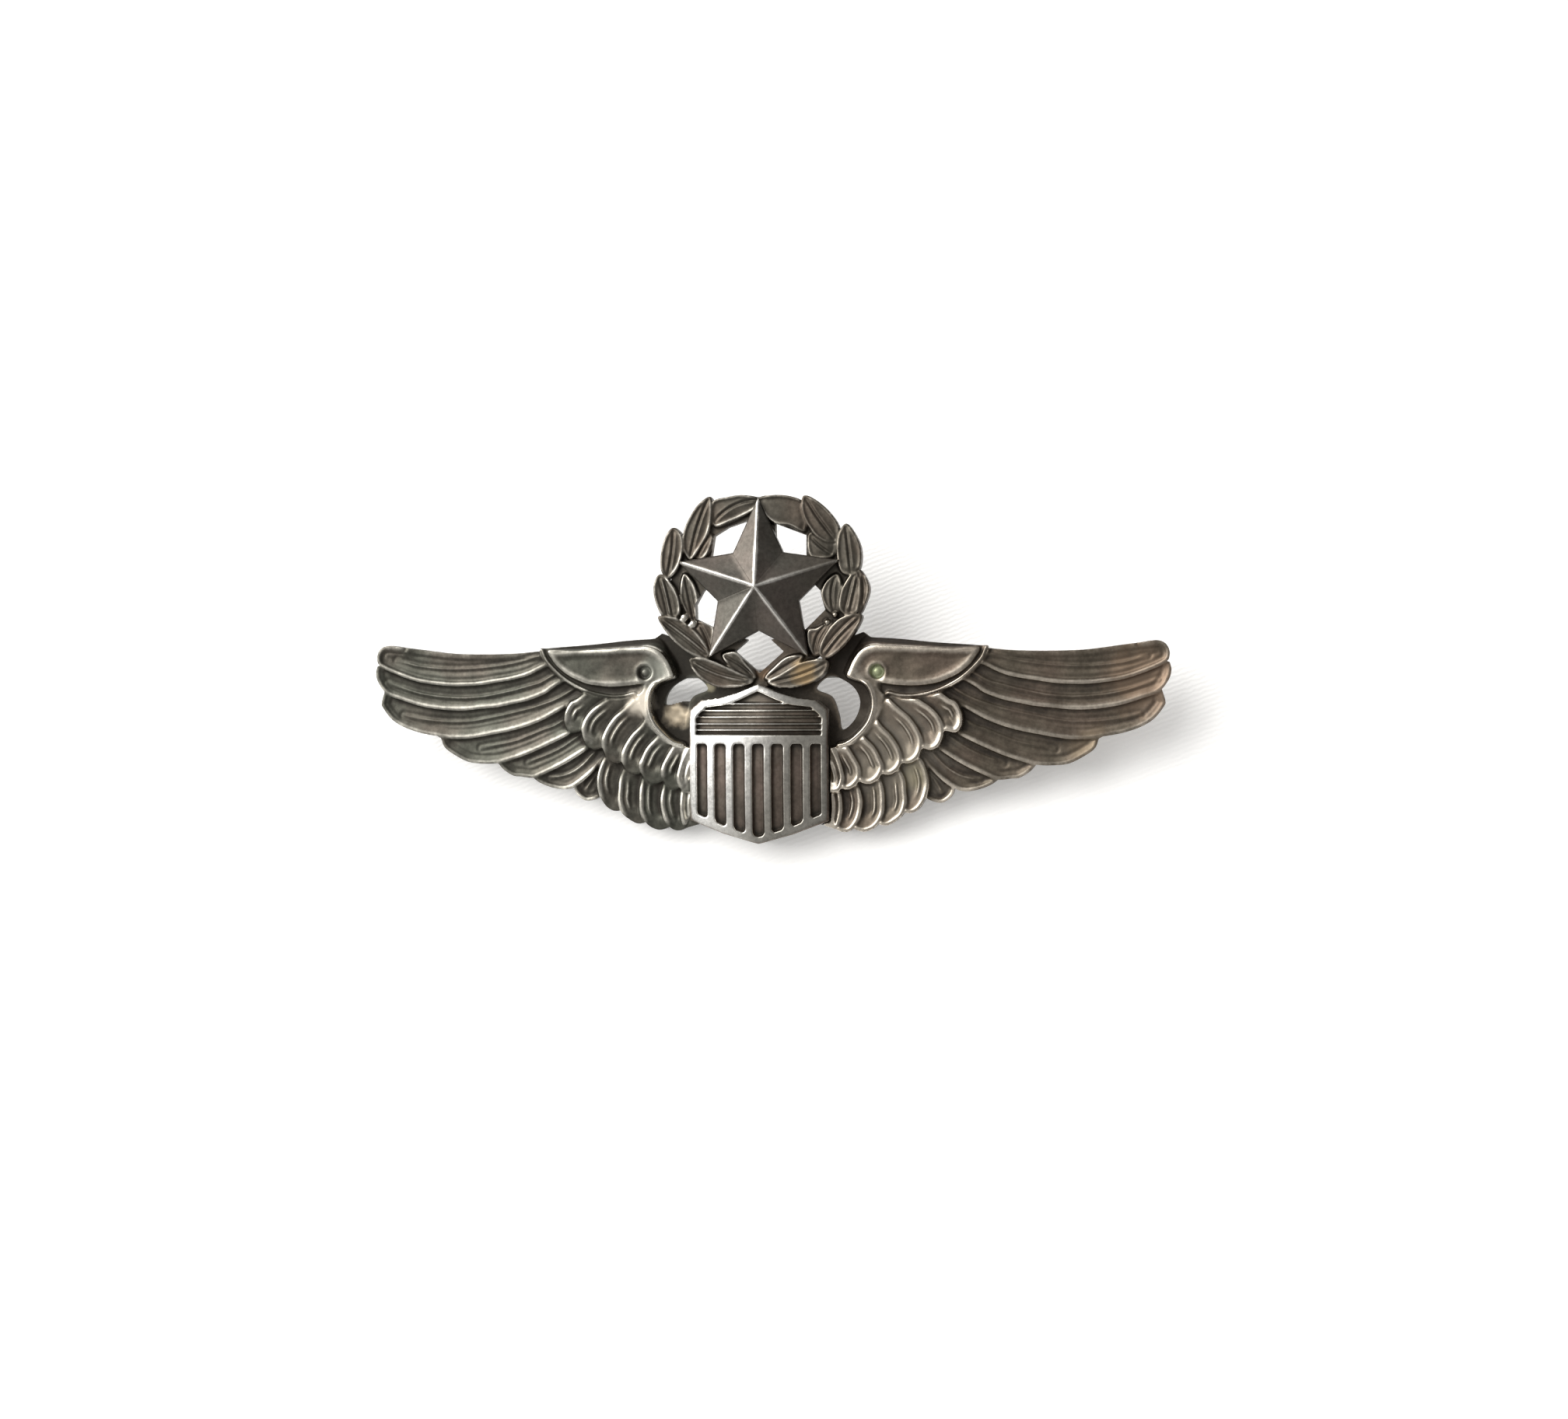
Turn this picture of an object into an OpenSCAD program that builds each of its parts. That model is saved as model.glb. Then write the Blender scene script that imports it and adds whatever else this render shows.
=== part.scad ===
// Pilot wings badge: feathered wings, striped shield, laurel wreath and star, with a hinged pin
// and a turning safety catch on the back.
// Millimetres. X runs to the right as the badge is worn, Z up, and the face looks towards -Y.
// The origin is on the axis of the closed pin, at the middle of the badge.

/* [Wings] */
// Width from tip to tip
wing_span = 76.2; // [62:1:94]
// Height of a wing from its top edge to its lowest feather, 1 being the drawn outline
wing_depth = 1; // [0.84:0.02:1.2]
// Thickness of the plate that carries the wings, the shield and the wreath
plate_t = 0.8; // [0.6:0.1:1.2]
// Height of the long feathers above the back, at the topmost one
feather_h = 1.7; // [1.4:0.1:2.2]
// Height of the short feathers above the back, at the one beside the shield
covert_h = 2.1; // [1.8:0.1:2.6]
// Height of the shoulder panel above the back
shoulder_h = 2.2; // [1.8:0.1:2.8]

/* [Shield] */
// Width of the shield
shield_w = 13.1; // [10:0.1:16]
// Height of the shield from its lower point to its upper point
shield_l = 15.0; // [12:0.1:18]
// Thickness of the shield
shield_t = 2.8; // [2:0.1:3.6]
// Width of the raised border
border_w = 0.6; // [0.4:0.05:0.8]
// Depth of the grooves and of the recess above them
groove_depth = 0.5; // [0.3:0.05:0.8]
// Number of upright grooves
groove_count = 7; // [5:1:9]
// Number of fine ridges in the recess
ridge_count = 5; // [3:1:6]

/* [Wreath] */
// Radius of the middle of the wreath's band
wreath_r = 7.4; // [6.2:0.1:8.9]
// Width of the wreath's band
band_w = 2.3; // [1.9:0.1:2.8]
// Height of the wreath's centre above the upper point of the shield
wreath_rise = 9.1; // [8.6:0.1:9.6]
// Thickness of the wreath at its leaves
leaf_t = 1.6; // [1.2:0.1:2]
// Radius of a berry
berry_r = 0.42; // [0.35:0.01:0.5]

/* [Star] */
// Radius of the star's points
star_r = 8.06; // [6.7:0.01:9.7]
// Radius of the corners between the points
star_inner_r = 4.1; // [3.4:0.1:4.9]
// Thickness of the star's edge
star_edge = 0.9; // [0.7:0.1:1.2]
// Height of the star's peak above its edge
star_peak = 2.3; // [1.8:0.1:2.8]

/* [Pin] */
// Distance from the plate's back to the axis of the closed pin
stand_off = 3; // [2.8:0.1:3.6]
// Height of the pin above the upper point of the shield
pin_rise = 1.1; // [0.8:0.1:1.4]
// Radius of the pin
pin_r = 0.45; // [0.4:0.01:0.5]
// Radius of the pin where it lies in the catch
pin_tip_r = 0.36; // [0.3:0.01:0.4]
// Length of the pin's straight full-thickness shaft
shaft_l = 25; // [21:0.5:27]
// Distance from the hinge to the catch
hinge_to_catch = 34; // [32:0.5:40]
// How far the point reaches past the catch
point_reach = 2; // [1.6:0.1:2.4]

/* [Hinge] */
// Radius of the rivet
rivet_r = 0.4; // [0.34:0.01:0.46]
// Radius of the rivet's heads
rivet_head_r = 0.72; // [0.6:0.01:0.85]
// Radius of the pin's eye
eye_r = 1; // [0.85:0.01:1.2]
// Height of the pin's eye between the ears
eye_h = 1.6; // [1.3:0.1:1.9]
// Thickness of each ear
ear_t = 0.5; // [0.4:0.05:0.6]
// Radius of the round base under the hinge and under the catch
base_r = 2.1; // [1.9:0.05:2.4]
// Thickness of those bases
base_t = 0.5; // [0.4:0.05:0.6]

/* [Catch] */
// Outer radius of the turning sleeve
roller_r = 1.1; // [0.95:0.01:1.2]
// Bore of the turning sleeve
roller_bore_r = 0.52; // [0.48:0.01:0.6]
// Length of the turning sleeve
roller_l = 3.2; // [2.8:0.1:3.8]
// Outer radius of the catch's two cheeks
cheek_r = 1.7; // [1.6:0.05:1.9]
// Thickness of each cheek
cheek_t = 0.7; // [0.55:0.05:0.8]
// Width of the mouth that the pin enters by
mouth_w = 1.04; // [1:0.02:1.2]
// How far the thumb tab stands out from the middle of the sleeve
tab_reach = 2.35; // [2:0.05:2.5]

/* [Fits] */
// Gap all round between a turning piece and what it turns in
turn_gap = 0.05; // [0.03:0.01:0.08]
// Gap beside a turning piece
side_gap = 0.08; // [0.05:0.01:0.12]

/* [Hidden] */
$fn = 64;

silver = "#b9b6ae";
dark_silver = "#6f6a62";
bright_silver = "#d8d6d0";

drawn_span = 76.2;      // span that the feather outlines below are drawn at
shield_top = 1.4;       // the shield's upper point, above the datum that the outlines use
outline_steps = 5;      // points drawn between two of an outline's own points
through = 20;           // long enough to pass through everything
span_scale = wing_span / drawn_span;
pin_v = shield_top + pin_rise;             // the pin's height above the outlines' datum
wreath_v = shield_top + wreath_rise;       // the wreath's and the star's centre
shield_front = plate_t + shield_t;
shield_bottom = shield_top - shield_l;
wreath_back = plate_t;
band_t = leaf_t - 0.5;                     // the band lies lower than the leaves on it
star_seat = wreath_back + band_t;          // the star rests on the band
hinge_x = -hinge_to_catch / 2;
catch_x = hinge_to_catch / 2;
shaft_start = -shaft_l * 0.6;
shaft_end = shaft_start + shaft_l;
collar_r = pin_r + 0.2;
ear_r = eye_r + 0.1;
ear_gap = eye_h / 2 + side_gap;            // from the middle to the inner face of an ear
ear_outer = ear_gap + ear_t;
bracket_floor = base_t + 0.6;              // the floor of the bracket, above the plate's back
cheek_bore_r = roller_r + turn_gap;
cheek_outer = roller_l / 2 - side_gap;     // from the catch's middle to the outer face of a cheek
cheek_inner = cheek_outer - cheek_t;
tab_w = 2 * (cheek_inner - side_gap);
tab_t = 0.8;
tab_angle = 90;                            // turn of the tab away from the mouth, with the catch open

// ---- outlines ----

function spline_point(a, b, c, d, s) =
  0.5 * (2 * b + (c - a) * s + (2 * a - 5 * b + 4 * c - d) * s * s
    + (3 * b - a - 3 * c + d) * s * s * s);

// a closed smooth outline through the points p
function smooth(p) =
  let (n = len(p))
  [for (i = [0:n - 1], k = [0:outline_steps - 1])
    spline_point(p[(i + n - 1) % n], p[i], p[(i + 1) % n], p[(i + 2) % n], k / outline_steps)];

function wing_points(p) = [for (q = p) [q[0] * span_scale, q[1] * wing_depth]];

// a pointed leaf from base b to tip t, w wide
function leaf_outline(b, t, w, steps = 8) =
  let (along = t - b, side = [-along[1], along[0]] / norm(along) * w / 2)
  concat(
    [for (i = [0:steps]) b + along * i / steps + side * leaf_swell(i / steps)],
    [for (i = [steps - 1:-1:1]) b + along * i / steps - side * leaf_swell(i / steps)]);

function leaf_swell(s) = pow(sin(180 * pow(s, 0.85)), 0.75);

// a short feather from root b to its round end t, w wide
function scale_outline(b, t, w, steps = 8) =
  let (along = t - b, side = [-along[1], along[0]] / norm(along) * w / 2,
    round_part = w / 2 / norm(along), centre = t - along * round_part)
  concat([b + side * 0.5], [for (i = [0:steps])
    centre + side * cos(180 * i / steps) + along * round_part * sin(180 * i / steps)],
    [b - side * 0.5]);

function star_corner(i) =
  let (r = i % 2 == 0 ? star_r : star_inner_r)
  [r * cos(90 + 36 * i), wreath_v + r * sin(90 + 36 * i)];

// ---- placing ----

// children are drawn flat with their height along Z, and stand up with that height towards the face
module face() {
  translate([0, -stand_off, -pin_v]) rotate([90, 0, 0]) children();
}

module both_sides() {
  children();
  mirror([1, 0, 0]) children();
}

// ---- wings ----

// long feathers of the right wing, from the topmost one down
long_feathers = [
  [[19.5, 3.6], [21.9, 4.6], [27.3, 4.4], [32, 4.6], [36.8, 5.3], [37.8, 3.9], [35.3, 2.3],
    [31.5, 1.5], [27.4, 1.5], [22.7, 2.4]],
  [[19.2, 1.6], [19.6, 3.6], [28, 2.8], [37, 4], [38.05, 2.4], [36.9, 0.6], [33.7, -0.5],
    [29.8, -1], [25.8, -0.7], [22.7, 0]],
  [[17.8, 0.1], [18.6, 2], [28, -0.3], [37, 1], [37.5, -0.4], [36.2, -2], [33, -3.3],
    [29, -3.7], [24.3, -2.9], [21.2, -1.9]],
  [[17, -2.4], [17.6, -0.4], [24, -1.8], [31.3, -3.2], [31.2, -4.5], [29.6, -5.7],
    [27.2, -6.15], [24.3, -5.7], [21.2, -4.5]],
  [[16.2, -4.4], [17, -2.4], [21, -3.6], [25.8, -5.7], [25, -6.9], [22.8, -7.5], [19.5, -6.3]],
  [[15, -5.4], [17, -4], [22.3, -7.2], [21.2, -8.2], [19.3, -8.6], [17, -7.4]],
  [[15.4, -7], [16.4, -5.6], [18.3, -8.2], [18, -9.2], [17.1, -9.65], [15.9, -9.3]]
];

// short feathers: base, tip and width, from the outermost one inwards
upper_coverts = [
  [[17.4, 0.6], [18.2, -3], 2.6], [[14.9, 0.4], [16.5, -4.7], 3], [[13, -0.2], [14.2, -6], 3.2],
  [[11.6, -1.6], [12.4, -7], 3], [[10, -2.8], [10.4, -7.9], 2.9], [[8.4, -3.8], [8.6, -8.4], 2.7],
  [[7, -4.2], [6.8, -8.7], 2.6]
];
lower_coverts = [
  [[14.6, -4.6], [14.2, -10.7], 3.3], [[12.7, -5.6], [12.1, -11.8], 3.2],
  [[10.6, -6.2], [10, -12.4], 3.2], [[8.6, -7], [8.3, -12.4], 3], [[6.8, -7], [6.4, -12.2], 2.8]
];

shoulder = [[8.2, 2.2], [8.6, 3.2], [9.7, 4.9], [11, 5.75], [16.3, 5.3], [21.3, 4.8], [21, 3.8],
  [19.4, 2.1], [16.7, 0.6], [13.3, 0.1], [10.6, 0.6]];
throat = [[8.2, 2.3], [12.6, 1.6], [13.6, -0.6], [12, -2.8], [9.4, -4.6], [7, -4.6], [6.9, -4],
  [9.2, -3], [10.4, -0.8], [9.6, 1.4]];
throat_hole = [[6.6, 2.2], [8.6, 1.3], [9.4, -0.2], [8.9, -1.9], [7.7, -2.9], [7.35, -1.4],
  [6.7, 0.2], [5.2, 1]];
web = [[9.7, 6.3], [8.3, 5.8], [6.4, 4.2], [3, 2.2], [-3, 2.2], [-6.4, 4.2], [-8.3, 5.8],
  [-9.7, 6.3], [-12, 4.6], [-24, 3.6], [-24, -4.2], [-16, -7.4], [-13.6, -9.8], [-7, -11],
  [7, -11], [13.6, -9.8], [16, -7.4], [24, -4.2], [24, 3.6], [12, 4.6]];

module wing() {
  step = (feather_h - plate_t) / len(long_feathers);
  for (i = [0:len(long_feathers) - 1])
    linear_extrude(height = feather_h - step * i * 0.6)
      polygon(smooth(wing_points(long_feathers[i])));
  lower_h = (plate_t + covert_h) / 2;
  for (i = [0:len(lower_coverts) - 1])
    linear_extrude(height = lower_h + 0.04 * i)
      polygon(wing_points(scale_outline(lower_coverts[i][0], lower_coverts[i][1],
        lower_coverts[i][2])));
  for (i = [0:len(upper_coverts) - 1])
    linear_extrude(height = covert_h - 0.05 * (len(upper_coverts) - i))
      polygon(wing_points(scale_outline(upper_coverts[i][0], upper_coverts[i][1],
        upper_coverts[i][2])));
  linear_extrude(height = covert_h + 0.03) polygon(smooth(wing_points(throat)));
  linear_extrude(height = shoulder_h) polygon(smooth(wing_points(shoulder)));
}

module shield_outline(inset = 0) {
  half = shield_w / 2 - inset;
  top = shield_top - inset * 1.1;
  low = shield_bottom + inset * 1.1;
  polygon([[0, top], [half * 0.3, top - 0.82], [half * 0.56, top - 1.32], [half * 0.84, top - 1.5],
    [half, top - 2.4], [half, low + 2.2], [0, low], [-half, low + 2.2], [-half, top - 2.4],
    [-half * 0.84, top - 1.5], [-half * 0.56, top - 1.32], [-half * 0.3, top - 0.82]]);
}

module wings_plate() {
  color(dark_silver) face() difference() {
    union() {
      both_sides() wing();
      linear_extrude(height = plate_t) polygon(wing_points(web));
      linear_extrude(height = plate_t) shield_outline(0.1);
    }
    translate([0, 0, plate_t]) linear_extrude(height = through) shield_outline();
    translate([0, 0, -1]) both_sides()
      linear_extrude(height = through) polygon(smooth(wing_points(throat_hole)));
    // room for the wreath where it overlaps the shoulders
    translate([0, 0, plate_t]) linear_extrude(height = through)
      translate([0, wreath_v]) circle(r = wreath_r + band_w / 2);
  }
}

// ---- shield ----

module shield() {
  recess_low = shield_top - shield_l * 0.32;
  bar_low = recess_low - 0.8;
  floor_z = shield_front - groove_depth;
  pitch = (shield_w - 2 * border_w) / (groove_count - 0.42);
  groove_w = pitch * 0.58;
  ridge_pitch = (recess_low - shield_top + 2.4) / -(ridge_count - 0.4);
  color(bright_silver) face() difference() {
    translate([0, 0, plate_t]) linear_extrude(height = shield_t) shield_outline();
    // the recess, with its fine ridges left standing
    translate([0, 0, floor_z]) linear_extrude(height = through) difference() {
      intersection() {
        shield_outline(border_w);
        translate([-shield_w, recess_low]) square([2 * shield_w, shield_l]);
      }
      for (i = [0:ridge_count - 1])
        translate([-shield_w / 2, recess_low + 0.3 + i * ridge_pitch])
          square([shield_w, 0.22]);
    }
    // the upright grooves, which stop at the border
    translate([0, 0, floor_z]) linear_extrude(height = through) intersection() {
      shield_outline(border_w);
      for (i = [0:groove_count - 1])
        translate([-shield_w / 2 + border_w + i * pitch, shield_bottom])
          square([groove_w, bar_low - shield_bottom]);
    }
  }
}

// ---- wreath ----

// leaves of the right half: base, tip and width, measured from the wreath's centre
leaves = [
  [[4.6, 6.6], [0, 7.9], 2.4], [[7.7, 3.2], [4.3, 8.5], 2.7], [[5.8, 2.2], [5, 5.2], 2],
  [[8.9, 0.8], [8.1, 5.9], 2.5], [[8.8, -2.2], [9.4, 1.5], 2.3], [[7, -1.8], [7.2, 2.2], 2],
  [[6.2, -6.4], [9.5, -2.6], 2.4], [[4.6, -5.8], [7.4, -2.6], 2.4],
  [[0.5, -8.5], [6.5, -6.8], 2.3], [[0.7, -8], [4.3, -5.4], 1.7]
];
berries = [[7.4, -2.15], [6.5, -2.9]];

module wreath() {
  leaf_scale = wreath_r / 7.4;
  color(dark_silver) face() difference() {
    translate([0, 0, wreath_back]) {
      translate([0, wreath_v]) linear_extrude(height = band_t) difference() {
        circle(r = wreath_r + band_w / 2);
        circle(r = wreath_r - band_w / 2);
      }
      both_sides() for (i = [0:len(leaves) - 1])
        translate([0, wreath_v]) linear_extrude(height = leaf_t - 0.03 * i)
          polygon([for (q = leaf_outline(leaves[i][0], leaves[i][1], leaves[i][2])) q * leaf_scale]);
      both_sides() for (b = berries)
        translate([b[0] * leaf_scale, wreath_v + b[1] * leaf_scale, leaf_t - 0.1])
          sphere(r = berry_r, $fn = 32);
    }
    // the star's seat and the shield both cut into it
    translate([0, 0, star_seat]) linear_extrude(height = through) star_outline();
    linear_extrude(height = through) shield_outline();
  }
}

// ---- star ----

module star_outline() {
  polygon([for (i = [0:9]) star_corner(i)]);
}

module star() {
  rim_z = star_seat + star_edge;
  rim = [for (i = [0:9]) [star_corner(i)[0], star_corner(i)[1], rim_z]];
  color(silver) face() union() {
    translate([0, 0, star_seat]) linear_extrude(height = star_edge) star_outline();
    polyhedron(
      points = concat(rim, [[0, wreath_v, rim_z + star_peak], [0, wreath_v, rim_z - star_edge / 2]]),
      faces = concat([for (i = [0:9]) [i, 10, (i + 1) % 10]], [for (i = [0:9]) [i, (i + 1) % 10, 11]]));
  }
}

// ---- pin and hinge ----

module round_base(x) {
  translate([x, -stand_off, 0]) rotate([-90, 0, 0]) cylinder(r = base_r, h = base_t);
}

module hinge_base() {
  color(dark_silver) round_base(hinge_x);
}

module hinge_bracket() {
  color(silver) translate([hinge_x, 0, 0]) difference() {
    union() {
      // floor between the ears
      translate([-ear_r, -stand_off + base_t, -ear_outer])
        cube([2 * ear_r, bracket_floor - base_t, 2 * ear_outer]);
      for (side = [0, 1]) mirror([0, 0, side]) translate([0, 0, ear_gap]) {
        cylinder(r = ear_r, h = ear_t);
        translate([-ear_r, -stand_off + base_t, 0]) cube([2 * ear_r, stand_off - base_t, ear_t]);
      }
    }
    translate([0, 0, -ear_outer - 1]) cylinder(r = rivet_r, h = 2 * ear_outer + 2);
  }
}

module hinge_rivet() {
  head_h = 0.3;
  color(bright_silver) translate([hinge_x, 0, 0]) rotate_extrude()
    polygon([[0, -ear_outer - head_h], [rivet_head_r * 0.7, -ear_outer - head_h],
      [rivet_head_r, -ear_outer - head_h * 0.4], [rivet_head_r, -ear_outer], [rivet_r, -ear_outer],
      [rivet_r, ear_outer], [rivet_head_r, ear_outer], [rivet_head_r, ear_outer + head_h * 0.4],
      [rivet_head_r * 0.7, ear_outer + head_h], [0, ear_outer + head_h]]);
}

module pin_stem() {
  tip_x = catch_x + roller_l / 2 + point_reach;
  taper_x = shaft_end + (catch_x - roller_l / 2 - shaft_end) * 0.7;
  color(bright_silver) difference() {
    union() {
      translate([hinge_x, 0, -eye_h / 2]) cylinder(r = eye_r, h = eye_h);
      rotate([0, 90, 0]) rotate_extrude()
        polygon([[0, hinge_x], [collar_r, hinge_x], [collar_r, shaft_start], [pin_r, shaft_start],
          [pin_r, shaft_end], [pin_tip_r, taper_x], [pin_tip_r, tip_x - 2.4], [0.06, tip_x],
          [0, tip_x]]);
    }
    translate([hinge_x, 0, -eye_h]) cylinder(r = rivet_r + turn_gap, h = 2 * eye_h);
  }
}

// ---- catch ----

module catch_base() {
  color(dark_silver) round_base(catch_x);
}

module catch_housing() {
  spine_top = cheek_bore_r + 0.25;
  color(silver) translate([catch_x, 0, 0]) difference() {
    union() {
      for (side = [0, 1]) mirror([side, 0, 0]) translate([cheek_inner, 0, 0]) {
        rotate([0, 90, 0]) cylinder(r = cheek_r, h = cheek_t);
        translate([0, -stand_off + base_t, -cheek_r * 0.8])
          cube([cheek_t, stand_off - base_t - spine_top, cheek_r * 1.6]);
      }
      translate([-cheek_outer, -stand_off + base_t, -cheek_r * 0.8])
        cube([2 * cheek_outer, 0.3, cheek_r * 1.6]);
    }
    rotate([0, 90, 0]) cylinder(r = cheek_bore_r, h = through, center = true);
    translate([-through / 2, 0, -mouth_w / 2 - 0.1]) cube([through, through, mouth_w + 0.2]);
  }
}

module catch_roller() {
  color(bright_silver) translate([catch_x, 0, 0]) difference() {
    union() {
      rotate([0, 90, 0]) cylinder(r = roller_r, h = roller_l, center = true);
      rotate([-tab_angle, 0, 0]) translate([-tab_w / 2, 0, -tab_t / 2]) {
        cube([tab_w, tab_reach - tab_t / 2, tab_t]);
        translate([0, tab_reach - tab_t / 2, tab_t / 2]) rotate([0, 90, 0])
          cylinder(d = tab_t, h = tab_w);
      }
    }
    rotate([0, 90, 0]) cylinder(r = roller_bore_r, h = through, center = true);
    translate([-through / 2, 0, -mouth_w / 2]) cube([through, through, mouth_w]);
  }
}

wings_plate();
shield();
wreath();
star();
hinge_base();
hinge_bracket();
hinge_rivet();
pin_stem();
catch_base();
catch_housing();
catch_roller();
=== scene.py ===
import math

import bmesh
import bpy
import numpy as np
from mathutils import Matrix, Vector


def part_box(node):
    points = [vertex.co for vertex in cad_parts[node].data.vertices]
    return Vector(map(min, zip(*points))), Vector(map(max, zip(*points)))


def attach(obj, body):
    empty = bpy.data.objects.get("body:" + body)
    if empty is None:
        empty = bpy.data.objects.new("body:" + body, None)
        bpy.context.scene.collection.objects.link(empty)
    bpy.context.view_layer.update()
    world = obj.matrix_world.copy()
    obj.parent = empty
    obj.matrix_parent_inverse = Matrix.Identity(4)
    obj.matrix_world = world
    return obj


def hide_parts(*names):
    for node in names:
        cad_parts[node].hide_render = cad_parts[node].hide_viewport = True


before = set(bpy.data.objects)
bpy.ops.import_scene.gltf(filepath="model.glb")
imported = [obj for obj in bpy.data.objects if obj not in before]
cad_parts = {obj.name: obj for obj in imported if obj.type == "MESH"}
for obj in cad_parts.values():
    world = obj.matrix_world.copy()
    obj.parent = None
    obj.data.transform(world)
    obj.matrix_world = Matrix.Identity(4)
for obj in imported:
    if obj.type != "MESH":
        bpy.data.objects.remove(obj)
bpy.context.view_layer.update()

mm = 0.001
plateT = 0.8                               # mm, the thin web that carries everything
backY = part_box("wings_plate")[1].y         # the flat back of the badge
upperPoint = 1.4                           # mm, how high the shield's upper point is drawn
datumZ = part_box("shield")[1].z - upperPoint * mm


# ---- curves and distances, in millimetres ----

def spline(points, steps=6, closed=False):
    p = np.array(points, float)
    if closed:
        ring = np.concatenate([p[-1:], p, p[:2]])
    else:
        ring = np.concatenate([2 * p[:1] - p[1:2], p, 2 * p[-1:] - p[-2:-1]])
    s = np.arange(steps)[:, None] / steps
    out = [0.5 * (2 * b + (c - a) * s + (2 * a - 5 * b + 4 * c - d) * s ** 2
                  + (3 * b - a - 3 * c + d) * s ** 3)
           for a, b, c, d in zip(ring[:-3], ring[1:-2], ring[2:-1], ring[3:])]
    return np.concatenate(out if closed else out + [p[-1:]])


def nearLine(x, v, line):
    # distance to a line, and how far along it the nearest point is, from 0 to 1
    best, place, n = np.full(x.shape, 1e9), np.zeros(x.shape), len(line) - 1
    for i, ((ax, av), (bx, bv)) in enumerate(zip(line[:-1], line[1:])):
        dx, dv = bx - ax, bv - av
        t = np.clip(((x - ax) * dx + (v - av) * dv) / max(dx * dx + dv * dv, 1e-9), 0, 1)
        d = (x - ax - t * dx) ** 2 + (v - av - t * dv) ** 2
        closer = d < best
        best[closer] = d[closer]
        place[closer] = (i + t[closer]) / n
    return np.sqrt(best), place


def within(x, v, outline, reach=1.0):
    # distance inside a closed outline, below zero outside it
    depth = np.full(x.shape, -reach)
    low, high = outline.min(0) - reach, outline.max(0) + reach
    near = (x > low[0]) & (x < high[0]) & (v > low[1]) & (v < high[1])
    px, pv = x[near], v[near]
    loop = np.concatenate([outline, outline[:1]])
    d, _ = nearLine(px, pv, loop)
    odd = np.zeros(px.shape, bool)
    for (ax, av), (bx, bv) in zip(loop[:-1], loop[1:]):
        if av != bv:
            odd ^= ((av > pv) != (bv > pv)) & (px < (bx - ax) * (pv - av) / (bv - av) + ax)
    depth[near] = np.where(odd, d, -d)
    return depth


def ease(a):
    a = np.clip(a, 0, 1)
    return a * a * (3 - 2 * a)


def crease(d, width):
    return np.clip(1 - np.abs(d) / width, 0, 1) ** 1.3


def hump(d, width):
    return np.exp(-(d / width) ** 2)


def lay(height, depth, top, soft=0.2):
    # lays a layer with its own top over what is there already
    cover = ease(depth / soft + 1)
    return height * (1 - cover) + top * cover


def soften(a, cells):
    pad = int(3 * cells) + 1
    p = np.pad(a, pad, mode="edge")
    fx, fv = np.fft.fftfreq(p.shape[0])[:, None], np.fft.rfftfreq(p.shape[1])[None, :]
    blur = np.exp(-2 * (math.pi * cells) ** 2 * (fx ** 2 + fv ** 2))
    return np.fft.irfft2(np.fft.rfft2(p) * blur, s=p.shape)[pad:-pad, pad:-pad]


def waves(x, v, seed, size, count=8):
    # the uneven hand of the die cutter
    rng = np.random.default_rng(seed)
    total = np.zeros(x.shape)
    for _ in range(count):
        angle, phase, s = rng.uniform(0, math.pi), rng.uniform(0, 6.283), size * rng.uniform(0.6, 1.7)
        total += np.sin((x * math.cos(angle) + v * math.sin(angle)) * 6.283 / s + phase)
    return total / count ** 0.5


# ---- struck pieces: a relief on a flat back, as one closed mesh ----

strike = {
    "smooth": 0.65, "wearSmooth": 0.7,     # softening of the relief and of its wear, in cells
    "ridgeReach": 0.3, "broadReach": 1.1,  # mm, how far round a point its own height is compared
    "edgeReach": 0.2,                      # mm, how far in from an edge the rubbing goes
    "webTop": 1.2, "webFade": 0.25, "webDark": 0.12,
    "sides": ((0.2, 0.03), (0.6, 0.04)),   # share of the way down, and how far the side bulges there in mm
    "block": 8,                            # the flat back is covered with patches of this many cells
    "rearRidge": 0.08, "rearRim": 0.12,
}


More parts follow.
